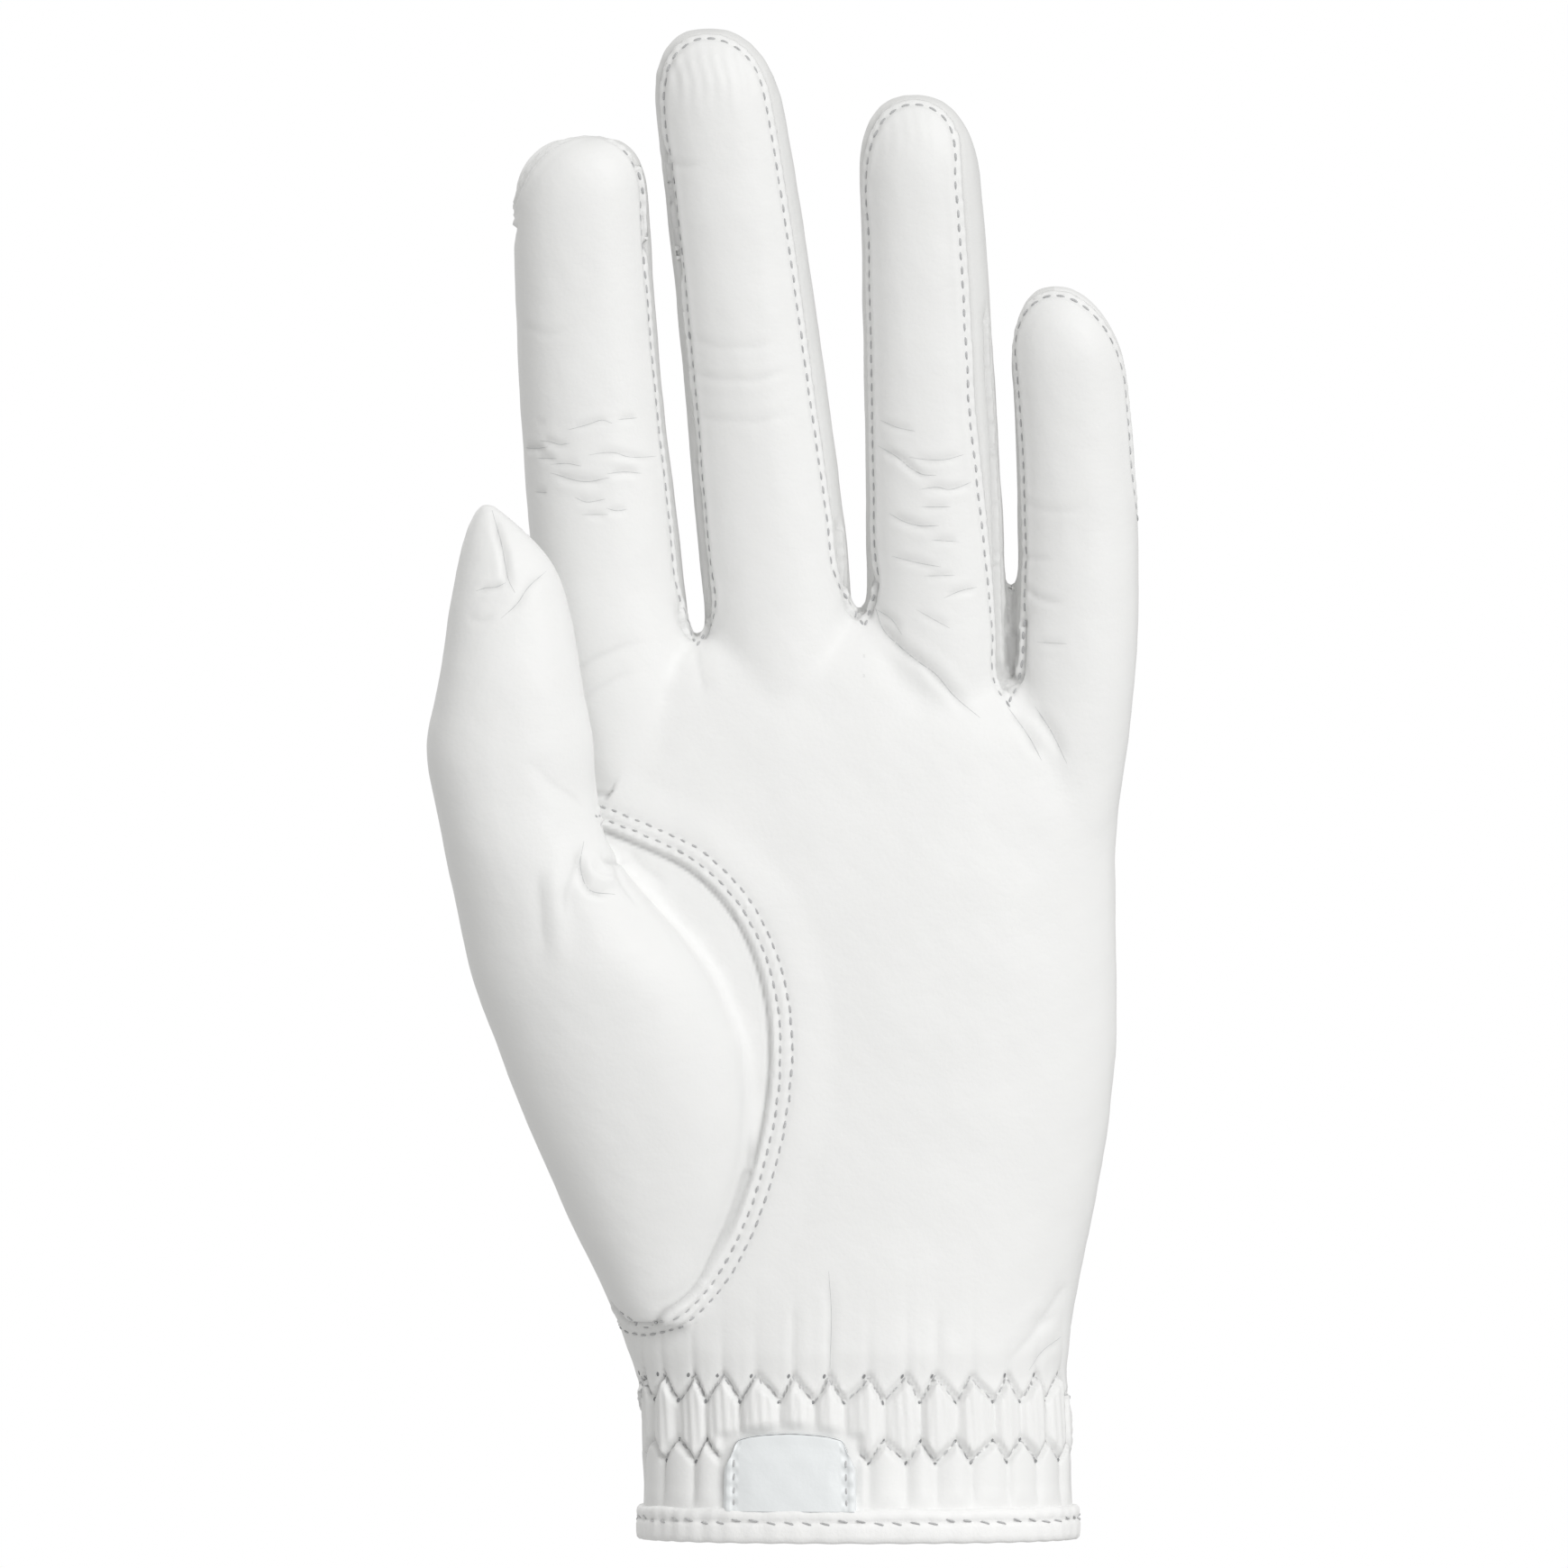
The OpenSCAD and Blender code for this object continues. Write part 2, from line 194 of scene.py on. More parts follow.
# The glove's form -----------------------------------------------------------------------------

class Tube:
    """A round form of horizontal sections: centre, half width and half depth at each height."""

    def __init__(self, low, high, centre, y, half, depth):
        self.low, self.high = low, high
        self.cx, self.cy, self.w, self.d = centre, y, half, depth

    def point(self, z, t):
        c, s = np.cos(np.radians(t)), np.sin(np.radians(t))
        x = self.cx(z) + self.w(z) * np.sign(c) * np.abs(c) ** (2 / ROUND)
        y = self.cy(z) + self.d(z) * np.sign(s) * np.abs(s) ** (2 / ROUND)
        return np.stack([x, y, z + 0 * x], -1)

    def reach(self, p):
        """How far out of the tube's middle each point is: 1 on its surface."""
        z = np.clip(p[:, 2], self.low, self.high)
        u = np.abs((p[:, 0] - self.cx(z)) / self.w(z)) ** ROUND
        v = np.abs((p[:, 1] - self.cy(z)) / self.d(z)) ** ROUND
        return (u + v) ** (1 / ROUND)


def finger(centre, low, top, half, dome, curl, power=2.3, lean=0.0, pinch=(0, 0)):
    """A finger from inside the hand up to its domed tip, its sides pinched in beside a gap."""
    c = lambda u: (centre[0] * (2 * u - 1) * (u - 1) + 4 * centre[1] * u * (1 - u)
                   + centre[2] * u * (2 * u - 1))
    share = lambda z: (z - WEB) / (top - WEB)
    near_web = lambda z: bell(z - WEB - 4, 9)
    w = lambda z: ((half[0] + (half[1] - half[0]) * share(z) - sum(pinch) / 2 * near_web(z))
                   * (1 - 0.004 * np.maximum(WEB - z, 0))
                   * (1 - np.clip((z - top + dome) / dome, 0, 1) ** power) ** (1 / power) + 1e-3)
    y = lambda z: -curl * np.clip(share(z), 0, 1) ** 2
    x = lambda z: (c(share(z)) + lean * np.clip((z - top + dome) / dome, 0, 1) ** 2
                   + (pinch[0] - pinch[1]) / 2 * near_web(z))
    return Tube(low, top, x, y, w, lambda z: 0.94 * w(z))


FINGERS = {
    "index": finger((-37.2, -41.4, -43.1), 104, 217.9, (12.0, 10.3), 13, 4, 2.7, 1.3,
                    pinch=(0, 0.5)),
    "middle": finger((-11.9, -16.8, -23.3), 104, 234.7, (12.1, 9.7), 14, 4, pinch=(0.5, 0.4)),
    "ring": finger((12.1, 11.1, 8.8), 104, 224.4, (11.0, 9.2), 14, 4, pinch=(0.4, 0.1)),
    "little": finger((34.0, 33.9, 31.0), 100, 194.9, (9.7, 8.7), 14, 4, 2.0, -0.5,
                     pinch=(0.1, 0)),
}

thumb_heights = [34, 40, 50, 62, 77, 88, 98, 106, 114, 124, 131, 137, 144, 149, 153, 156, 158.5, 161]
thumb_left = curve(thumb_heights, [-37, -39.9, -44.7, -50, -55.9, -59.8, -61.9, -63.7, -65.2, -66.6,
                                   -65.1, -64, -63, -62.2, -61.4, -60.5, -59.5, -57.9])
thumb_right = curve(thumb_heights, [-24, -21, -18, -16, -18, -23, -31, -37.5, -40.4, -40.8,
                                    -42.1, -43.1, -44.4, -45.8, -48.2, -51.2, -54, -57.3])
thumb_front = curve(thumb_heights, [-16.5, -18.5, -21.5, -24.5, -27.3, -28.9, -29.4, -29.5, -29.3,
                                    -29.2, -28.8, -28, -26.8, -25.7, -24.4, -22.9, -21.5, -19.6])
thumb_back = curve(thumb_heights, [4, 4, 3, 2, 0, -1.5, -3.5, -5, -6.8, -8.2,
                                   -9.2, -10.2, -11.2, -11.8, -12.6, -13.8, -15.5, -18.6])
THUMB = Tube(34, 161, lambda z: (thumb_left(z) + thumb_right(z)) / 2,
             lambda z: (thumb_front(z) + thumb_back(z)) / 2,
             lambda z: (thumb_right(z) - thumb_left(z)) / 2,
             lambda z: (thumb_back(z) - thumb_front(z)) / 2)

hand_heights = [-4, 5, 14, 21, 27, 33, 38, 45, 54, 64, 74, 84, 92, 105, 116, 126, 130, 134, 137.5,
                140, 142, 143.5]
hand_left = curve(hand_heights, [-33.5, -33.3, -33.5, -33.7, -34.8, -36.6, -38, -40, -42, -44, -45.6,
                                 -46.8, -47.6, -48.6, -49.6, -50.2, -50.3, -46, -36, -26, -16, -8])
hand_right = curve(hand_heights, [33.8, 33.6, 33.4, 33.1, 32.6, 33.2, 34, 35.6, 37.3, 39, 40, 40.4,
                                  40.3, 40.1, 40.4, 37.5, 32, 24, 18, 13, 9, 5])
hand_depth = curve(hand_heights, [20.5, 20, 18.9, 18.3, 17.8, 17.5, 17.3, 17, 16.8, 16.6, 16.4, 16.2,
                                  15.9, 15, 13.6, 12, 11.2, 10.4, 9.3, 7.6, 5.4, 3])
HAND = Tube(-4, 143.5, lambda z: (hand_left(z) + hand_right(z)) / 2, lambda z: 0 * z,
            lambda z: (hand_right(z) - hand_left(z)) / 2, hand_depth)


def new_mesh(name, points, faces):
    """A mesh from lists of points and faces."""
    mesh = bpy.data.meshes.new(name)
    mesh.from_pydata([tuple(p) for p in points], [], [tuple(int(i) for i in f) for f in faces])
    mesh.validate()
    return mesh


def closed_tube(tube, step=2.0, around=64):
    """A tube's vertices and faces, closed by a fan at each end."""
    rows = int((tube.high - tube.low) / step)
    share = np.linspace(0, 1, rows)
    share = 1 - (1 - share) ** 1.25
    heights = tube.low + (tube.high - tube.low) * share
    angles = np.arange(around) * 360 / around
    points = np.concatenate([tube.point(np.full(around, z), angles) for z in heights])
    i, j = np.meshgrid(np.arange(rows - 1), np.arange(around), indexing="ij")
    a, b = (i * around + j).ravel(), (i * around + (j + 1) % around).ravel()
    faces = np.stack([a, b, b + around, a + around], 1).tolist()
    for row, turn in ((0, -1), (rows - 1, 1)):
        centre = len(points)
        points = np.vstack([points, points[row * around:(row + 1) * around].mean(0)])
        ring = [row * around + k for k in range(around)]
        for k in range(around):
            pair = (ring[k], ring[(k + 1) % around])
            faces.append((*pair[::turn], centre))
    return points, faces


def evaluated(obj):
    """The object's mesh after its modifiers; the object goes."""
    graph = bpy.context.evaluated_depsgraph_get()
    mesh = bpy.data.meshes.new_from_object(obj.evaluated_get(graph))
    old = obj.data
    bpy.data.objects.remove(obj)
    bpy.data.meshes.remove(old)
    return mesh


def link(name, data):
    """An object in the scene with this data."""
    obj = bpy.data.objects.new(name, data)
    bpy.context.scene.collection.objects.link(obj)
    return obj


def arrays(mesh):
    """A quad mesh's points and faces as arrays."""
    points = np.empty(len(mesh.vertices) * 3)
    mesh.vertices.foreach_get("co", points)
    corners = np.empty(len(mesh.loops), int)
    mesh.loops.foreach_get("vertex_index", corners)
    return points.reshape(-1, 3), corners.reshape(-1, 4)


def normals_of(points, quads):
    """Each point's normal, from the faces around it."""
    corner = [points[quads[:, k]] for k in range(4)]
    cross = np.cross(corner[2] - corner[0], corner[3] - corner[1])
    out = np.zeros_like(points)
    for k in range(4):
        for axis in range(3):
            out[:, axis] += np.bincount(quads[:, k], cross[:, axis], len(points))
    return out / np.maximum(np.linalg.norm(out, axis=1, keepdims=True), 1e-12)


def relax(values, quads, rounds, factor=0.5, keep_size=False):
    """Average each vertex's value with its neighbours'."""
    edges = np.concatenate([quads[:, [k, (k + 1) % 4]] for k in range(4)])
    edges = np.concatenate([edges, edges[:, ::-1]])
    n = len(values)
    count = np.maximum(np.bincount(edges[:, 0], minlength=n), 1)
    flat = values.reshape(n, -1).copy()
    for turn in range(rounds):
        step = factor if not keep_size or turn % 2 == 0 else -factor * 1.04
        mean = np.stack([np.bincount(edges[:, 0], flat[edges[:, 1], k], n) / count
                         for k in range(flat.shape[1])], 1)
        flat += step * (mean - flat)
    return flat.reshape(values.shape)


def build_form():
    """All the tubes joined to one skin, with the webs and the thumb's root smoothed."""
    points, faces, count = [], [], 0
    for tube in [HAND, THUMB, *FINGERS.values()]:
        p, f = closed_tube(tube)
        faces += [tuple(i + count for i in face) for face in f]
        points.append(p)
        count += len(p)
    obj = link("form", new_mesh("form", np.concatenate(points), faces))
    remesh = obj.modifiers.new("skin", "REMESH")
    remesh.mode = "VOXEL"
    remesh.voxel_size = VOXEL
    mesh = evaluated(obj)
    p, q = arrays(mesh)
    p = relax(p, q, 26, 0.5, keep_size=True)
    p = relax(p, q, 3, 0.4)
    mesh.vertices.foreach_set("co", p.ravel())
    obj = link("form", mesh)
    obj.modifiers.new("fine", "SUBSURF").levels = 1
    mesh = evaluated(obj)
    p, q = arrays(mesh)
    bpy.data.meshes.remove(mesh)
    keep = p[q][:, :, 2].mean(1) > CUFF_EDGE
    q = q[keep]
    used, q = np.unique(q, return_inverse=True)
    p, q = p[used], q.reshape(-1, 4)
    p[:, 2] = np.maximum(p[:, 2], CUFF_EDGE)
    return p, q


form, quads = build_form()
normals = normals_of(form, quads)
form_tree = BVHTree.FromPolygons(form.tolist(), quads.tolist())


# Paths on the skin ----------------------------------------------------------------------------

def lengths_along(path):
    """How far along a path each of its points is."""
    return np.concatenate([[0], np.cumsum(np.linalg.norm(np.diff(path, axis=0), axis=1))])


def smooth_line(points, step=0.5):
    """Points every step along a smooth curve through the given ones."""
    points = np.asarray(points, float)
    along = lengths_along(points)
    at = np.linspace(0, along[-1], max(int(along[-1] / step), 2) + 1)
    return np.stack([curve(along, points[:, k])(at) for k in range(points.shape[1])], 1)


def on_front(points, side=-1, tree=form_tree):
    """Where the places (x, z) lie on the palm side of the skin, or on its back with side 1."""
    out = []
    for x, z in points:
        hit = tree.ray_cast(Vector((x, side * 200, z)), Vector((0, -side, 0)))[0]
        hit = hit or tree.find_nearest(Vector((x, 0, z)))[0]
        out.append(tuple(hit))
    return np.array(out)


def nearest(points, tree=form_tree):
    """The nearest places on a surface."""
    return np.array([tuple(tree.find_nearest(Vector(p))[0]) for p in points])


def near(path, reach, deep=5.0):
    """The skin's vertices within reach of a path: which, signed distance and distance along.

    The distance is positive on the right of the path, seen from outside the glove."""
    low, high = path.min(0) - reach, path.max(0) + reach
    which = np.flatnonzero(((form > low) & (form < high)).all(1))
    p, n = form[which], normals[which]
    best = np.full(len(which), np.inf)
    side, along = np.zeros(len(which)), np.zeros(len(which))
    done = 0.0
    for a, b in zip(path[:-1], path[1:]):
        ab = b - a
        length = max(np.linalg.norm(ab), 1e-9)
        u = np.clip((p - a) @ ab / length ** 2, 0, 1)
        off = p - a - u[:, None] * ab
        lift = (off * n).sum(1)
        flat = off - lift[:, None] * n
        d = np.linalg.norm(flat, axis=1) + 50 * (np.abs(lift) > deep)
        closer = d < best
        best[closer] = d[closer]
        side[closer] = np.sign((np.cross(ab, n) * flat).sum(1))[closer]
        along[closer] = (done + u * length)[closer]
        done += length
    ok = best < reach
    return which[ok], (best * np.where(side < 0, -1, 1))[ok], along[ok], done


def inside(points, outline):
    """Which of the places (x, z) are inside the closed outline."""
    x, z = points[:, 0], points[:, 1]
    hit = np.zeros(len(points), bool)
    for (x1, z1), (x2, z2) in zip(outline, np.roll(outline, -1, 0)):
        if z1 != z2:
            hit ^= ((z1 > z) != (z2 > z)) & (x < (x2 - x1) * (z - z1) / (z2 - z1) + x1)
    return hit


# Where each finger's front panel is sewn: its shares of the half width at the left and the right,
# low down and from 175 up, its share of the dome, and the seam's two ends.
CROTCHES = {"index": (-25.0, 138.4), "middle": (1.1, 141.4), "ring": (23.4, 129.5)}
FRONT_SEAMS = {
    "index": dict(left=(0.985, 0.985), right=(0.89, 0.90), tip=0.97, foot=(-52.6, 205.5),
                  after=CROTCHES["index"]),
    "middle": dict(left=(0.86, 0.86), right=(0.81, 0.74), tip=0.86, foot=CROTCHES["index"],
                   after=CROTCHES["middle"]),
    "ring": dict(left=(0.88, 0.89), right=(0.84, 0.58), tip=0.86, foot=CROTCHES["middle"],
                 after=CROTCHES["ring"]),
    "little": dict(left=(0.87, 0.91), right=(0.93, 0.93), tip=0.86, foot=CROTCHES["ring"],
                   after=None),
}
DOMES = {"index": 13, "middle": 14, "ring": 14, "little": 14}


def seam_places(name):
    """The front seam of a finger as places (x, z): up the left side, round the tip, down the right."""
    tube, seam, dome = FINGERS[name], FRONT_SEAMS[name], DOMES[name]
    shoulder = tube.high - dome
    share = {side: lambda z, side=side: np.interp(z, (136, 175), seam[side])
             for side in ("left", "right")}
    up = [seam["foot"]]
    start = up[0][1] + 6
    if start < shoulder:
        up += [(tube.cx(z) - share["left"](z) * tube.w(z), z)
               for z in np.arange(start, shoulder - 2, 7)]
    over = []
    left, right = share["left"](shoulder), share["right"](shoulder)
    for a in range(180, -1, -20):
        c, s = math.cos(math.radians(a)), math.sin(math.radians(a))
        out = left + (right - left) * (180 - a) / 180
        out += (seam["tip"] + 0.04 - out) * s ** 2
        over.append((tube.cx(shoulder) + out * tube.w(shoulder) * c
                     + (tube.cx(tube.high) - tube.cx(shoulder)) * s, shoulder + seam["tip"] * dome * s))
    end = seam["after"] or (tube.cx(158) + 0.99 * tube.w(158), 158)
    down = [(tube.cx(z) + share["right"](z) * tube.w(z), z)
            for z in np.arange(shoulder - 7, end[1] + 3.5, -7)]
    return np.array(up + over + down + [end])


finger_seams = {name: smooth_line(seam_places(name)) for name in FINGERS}
finger_paths = {name: on_front(places) for name, places in finger_seams.items()}

# The curved seam round the ball of the thumb: the middle of its two rows of stitches.
thumb_seam = smooth_line([(-40.5, 113.2), (-32, 109.8), (-24.5, 106), (-18.3, 100), (-14, 92.5),
                          (-11.6, 84), (-11, 76), (-12.2, 64), (-14.5, 55), (-18, 46), (-23, 38.3),
                          (-29.5, 33.6), (-34, 33), (-37.2, 34.8)])
THUMB_FOLD = 2.3         # from that middle line to the palm's folded edge
THUMB_ROW = 0.85         # from that middle line to each row of stitches
thumb_path = on_front(thumb_seam)


def offset_path(places, by):
    """A line (x, z) moved sideways, to its right."""
    turn = np.gradient(places, axis=0)
    turn /= np.maximum(np.linalg.norm(turn, axis=1, keepdims=True), 1e-9)
    return places + by * np.stack([turn[:, 1], -turn[:, 0]], 1)


# Shape of the skin: how far each vertex moves out, and how much painted shade darkens its creases and folds
# --------------------

rise = np.zeros(len(form))
shade = np.zeros(len(form))


def waves(p, length, seed, count=14):
    """Smooth noise of about the given wavelength, from -1 to 1."""
    random = np.random.default_rng(seed)
    directions = random.normal(size=(count, 3))
    directions /= np.linalg.norm(directions, axis=1, keepdims=True)
    pitch = length * random.uniform(0.7, 1.5, count)
    phase = random.uniform(0, 2 * np.pi, count)
    return np.sin(p @ (directions / pitch[:, None]).T * 2 * np.pi + phase).sum(1) / math.sqrt(count)


LIP = 1.3                # from a finger's front stitches to the edge of its front panel
seam_side = {name: {} for name in FINGERS}


def finger_seam_shape():
    """The front panel's sewn lip, and the fourchette that tucks in beside it."""
    for name, path in finger_paths.items():
        which, d, s, length = near(path, 5)
        ends = smoothstep(s / 4) * smoothstep((length - s) / 4)
        pucker = 1 + 0.3 * np.cos(2 * np.pi * s / 2.2)
        lip = 0.16 * bell(d - 1.0, 0.7) + 0.2 * bell(d + LIP / 2, 0.5) * pucker
        row = -0.2 * bell(d, 0.4)
        fold = -0.6 * bell(d + LIP + 0.35, 0.5) - 0.25 * bell(d + LIP + 1.3, 1.1)
        fold = np.where(d < -LIP, fold, 0)
        rise[which] += ends * (lip + row + fold)
        # painted shade in the fold where the fourchette tucks under the lip
        shade[which] = np.maximum(shade[which], ends * 0.3 * bell(d + LIP + 0.3, 0.4))
        seam_side[name].update(zip(which, d))


def thumb_seam_shape():
    """The palm's double-stitched edge, lapped over the thumb piece."""
    which, d, s, length = near(thumb_path, 9)
    ends = smoothstep(s / 3) * smoothstep((length - s) / 3)
    over = 0.48 * smoothstep((d + 8) / 6) * (1 - smoothstep((d - THUMB_FOLD + 0.25) / 0.5))
    under = -0.36 * bell(d - THUMB_FOLD - 0.4, 0.45) - 0.2 * bell(d - THUMB_FOLD - 1.5, 1.4)
    under = np.where(d > THUMB_FOLD - 0.1, under, 0)
    rows = -0.26 * bell(np.abs(d) - THUMB_ROW, 0.36) * (0.7 + 0.3 * np.cos(2 * np.pi * s / 2))
    puff = 0.1 * bell(d, 0.4)
    rise[which] += ends * (over + under + rows + puff)
    # painted shade in the step under the palm's folded edge
    shade[which] = np.maximum(shade[which], ends * 0.5 * bell(d - THUMB_FOLD - 0.35, 0.4))


# Creases: places (x, z) on the palm side, width, depth (negative for a ridge)
CREASES = [
    # index finger, at its middle joint
    ([(-44.8, 172), (-41.8, 172.8), (-39.3, 173.5), (-38, 173)], 0.5, 0.26),
    ([(-37.1, 173.6), (-34.1, 173.9)], 0.5, 0.22),
    ([(-50.1, 173.4), (-49.1, 173), (-48.1, 173.3)], 0.45, 0.18),
    ([(-49.1, 170.4), (-47.6, 170.2), (-46.3, 169.8), (-44.6, 169.9)], 0.5, 0.32),
    ([(-51.6, 169.4), (-50, 169.2), (-48, 169.4)], 0.55, 0.5),
    ([(-49.7, 167.7), (-46.6, 167.6)], 0.5, 0.3),
    ([(-47.6, 166.7), (-44.8, 166.8), (-42.8, 166.4)], 0.45, 0.24),
    ([(-47.6, 165.4), (-45.9, 164.9), (-44.1, 164.3), (-42.3, 164), (-38.4, 164.6)], 0.6, 0.44),
    ([(-38.8, 165.2), (-36.3, 165.5), (-33.4, 165.3)], 0.55, 0.34),
    ([(-41.6, 168.1), (-39.8, 168.4), (-37.3, 168.4), (-35.8, 167.9), (-33.6, 167.8), (-31.2, 168)],
     0.5, 0.26),
    ([(-50, 162.5), (-48, 162.3)], 0.5, 0.3),
    ([(-43.8, 161.6), (-42.3, 160.9), (-39, 161.3)], 0.5, 0.24),
    ([(-38.9, 159.9), (-37.4, 159.5), (-35.7, 159.7)], 0.5, 0.24),
    ([(-42.6, 158.9), (-38.6, 158.9)], 0.5, 0.24),
    ([(-52.5, 188.5), (-48, 187), (-44, 188)], 0.6, 0.12),
    # middle finger
    ([(-27, 186.5), (-20, 184.8), (-11, 186)], 0.6, 0.14),
    ([(-26.5, 181), (-18, 179.8), (-9, 181.5)], 0.6, 0.2),
    ([(-26, 174.5), (-18, 173.4), (-9, 174.6)], 0.6, 0.14),
    ([(-30.8, 214.3), (-27, 213), (-23, 213.6)], 0.6, 0.2),
    # ring finger
    ([(3.5, 173.6), (6.2, 172.4), (8.9, 171.8)], 0.5, 0.26),
    ([(3.2, 169.6), (6.2, 167.8), (8.4, 166), (10.2, 165.1), (12.2, 165)], 0.55, 0.46),
    ([(8, 167.8), (10.9, 167.4), (13.4, 167.4), (16.4, 168.2)], 0.5, 0.28),
    ([(9.5, 162.8), (12.7, 163.1), (13.8, 162.8), (16.3, 163.4), (17.6, 164)], 0.5, 0.34),
    ([(4.9, 159.1), (7.3, 157.8), (9.5, 157.2), (12.5, 157.2)], 0.55, 0.42),
    ([(9.8, 160.1), (14.4, 160.1)], 0.45, 0.24),
    ([(11.4, 155), (15.7, 154.7)], 0.45, 0.24),
    ([(5.3, 152.5), (9.1, 151.5), (12.9, 150.8)], 0.5, 0.3),
    ([(10.3, 149.4), (15, 149.5)], 0.45, 0.24),
    ([(13.4, 146), (15.9, 147.1), (18.5, 147.7)], 0.5, 0.3),
    ([(9.1, 144.2), (12.3, 142.4), (14.3, 141.3)], 0.5, 0.2),
    ([(2.7, 144.8), (4.1, 141), (6.6, 138.5), (9.1, 136.4), (12, 134.3), (14.8, 131), (19, 127.4)],
     0.75, 0.6),
    ([(2.9, 144.3), (5.2, 142.8), (6.9, 140.3)], 0.5, 0.34),
    # little finger
    ([(25, 161.5), (30, 159.5), (36, 160.5)], 0.6, 0.14),
    ([(24.6, 153.2), (27.5, 152.2), (31, 152)], 0.55, 0.22),
    ([(25.3, 148.3), (27.7, 146.4), (29.8, 145.5), (32.6, 145.2)], 0.5, 0.3),
    ([(27.8, 139.2), (32.4, 138.9)], 0.5, 0.22),
    ([(23.2, 129.2), (26.9, 123.9), (28.5, 120.8)], 0.7, 0.5),
    ([(27.5, 129.2), (29.8, 125.7), (32.4, 120.4)], 0.7, 0.4),
    # under the index finger, beside the thumb
    ([(-43.5, 135), (-37, 138.5), (-31, 139.5)], 1.0, 0.2),
    ([(-43, 130), (-37, 134), (-32, 135)], 1.0, 0.14),
    ([(-25, 139), (-24, 134), (-23.5, 130)], 0.9, 0.25),
    # thumb tip and its dart
    ([(-56.4, 159.4), (-56, 158), (-55, 154.6), (-54.3, 151), (-53.7, 148.4), (-52.8, 146.6)],
     0.5, 0.6),
    ([(-58.8, 146.9), (-57.2, 147.4), (-55.7, 147.5), (-54.2, 148.2)], 0.5, 0.42),
    ([(-54.9, 142.7), (-52.5, 144.9), (-50.8, 147.4), (-48, 150)], 0.7, 0.34),
    ([(-60.5, 143.5), (-58, 142.5), (-55.5, 143.2)], 0.6, 0.18),
    # ball of the thumb
    ([(-47.4, 106), (-46.8, 98), (-45.7, 88)], 1.3, -0.5),
    ([(-48.8, 105), (-48.4, 97), (-47.6, 90)], 1.0, 0.3),
    ([(-41.8, 108.5), (-44.5, 102), (-45.2, 96)], 1.0, 0.35),
    ([(-38.5, 107.5), (-36.5, 102), (-33.5, 97.5)], 1.0, 0.35),
    ([(-36, 108), (-33, 104.5), (-29, 101.5)], 0.9, 0.28),
    ([(-52, 122), (-46, 117), (-41.5, 113.5)], 1.4, 0.2),
    # the tuck where the thumb piece meets the palm
    ([(-41.2, 106.8), (-41.1, 103.6), (-38.8, 102.2), (-36.9, 103)], 0.8, -0.9),
    ([(-42.2, 108.4), (-42.7, 104.5), (-41.4, 101.0), (-37.4, 100.2)], 0.5, 0.6),
    ([(-39.4, 107.6), (-39.2, 105.4), (-36.4, 105.2), (-33.8, 104.6)], 0.5, 0.6),
    # over the wrist
    ([(31.5, 36), (27, 32.5), (22.5, 27)], 0.9, 0.3),
    ([(33, 40.5), (29.5, 36), (26.5, 31)], 1.0, 0.3),
    ([(31.5, 31.5), (28.5, 29.3), (26.5, 26.5)], 0.8, 0.25),
    ([(-4.5, 42), (-4.1, 36), (-4.3, 27)], 0.7, 0.2),
    ([(-9.5, 38), (-9.8, 33), (-10, 27)], 0.7, 0.16),
    ([(12.5, 36), (12.6, 31), (12.7, 27)], 0.7, 0.16),
]


def crease_shape():
    for places, width, depth in CREASES:
        which, d, s, length = near(on_front(smooth_line(places, 0.8)), 4.5 * width)
        fade = smoothstep(s / (0.3 * length)) * smoothstep((length - s) / (0.3 * length))
        wander = 0.12 * np.sin(s * 0.9 + places[0][0])
        width = 1.25 * width
        cut = 0.6 * (-bell(d + wander, width) + 0.22 * bell(np.abs(d + wander) - 2 * width, width))
        rise[which] += depth * fade * cut
        # painted shade along the bottom of each crease
        if depth > 0:
            shade[which] = np.maximum(shade[which], 0.6 * depth * fade * bell(d + wander, 0.45))


# The wrist's two elastics gather the leather between zigzag rows of stitches.
GATHER = 5.65            # distance between two points of a zigzag
GATHER_MIDDLE = -4.3     # a point of the upper zigzag, across the front


def front_distance(p):
    """Distance round the front of the wrist, from the middle, and how far to the front it is."""
    angles = np.linspace(180, 360, 181)
    line = HAND.point(np.full(181, 20.0), angles)
    along = lengths_along(line)
    middle = np.interp(GATHER_MIDDLE, line[:, 0], along)
    t = np.interp(p[:, 0], line[:, 0], along) - middle
    front = smoothstep(-p[:, 1] / 5 + 0.6)
    return t, front


def gather_phase(p):
    """How far round the gathers each point is: a whole number at each point of the upper zigzag."""
    t = front_distance(p)[0]
    return t / GATHER + 0.06 * np.sin(t * 0.9) + 0.05 * np.sin(t * 0.37 + 1)


def zigzag(u):
    """From -1 half way between two points to 1 at each point."""
    return 1 - 4 * np.abs(u - np.round(u))


def upper_row(u):
    return 23.8 + 2.0 * zigzag(u)


def lower_row(u):
    return 14.2 - 1.7 * zigzag(u)


PATCH_MIDDLE, PATCH_HALF, PATCH_TOP = -10.5, 10.3, 17.0


def on_patch(x, z, grow=0.0):
    """Below 1 inside the patch's outline, which has a rounded top."""
    half, top = PATCH_HALF + grow, PATCH_TOP + grow - 0.06 * (np.abs(x - PATCH_MIDDLE)) ** 1.35
    return np.maximum(np.abs(x - PATCH_MIDDLE) / half, z / top)


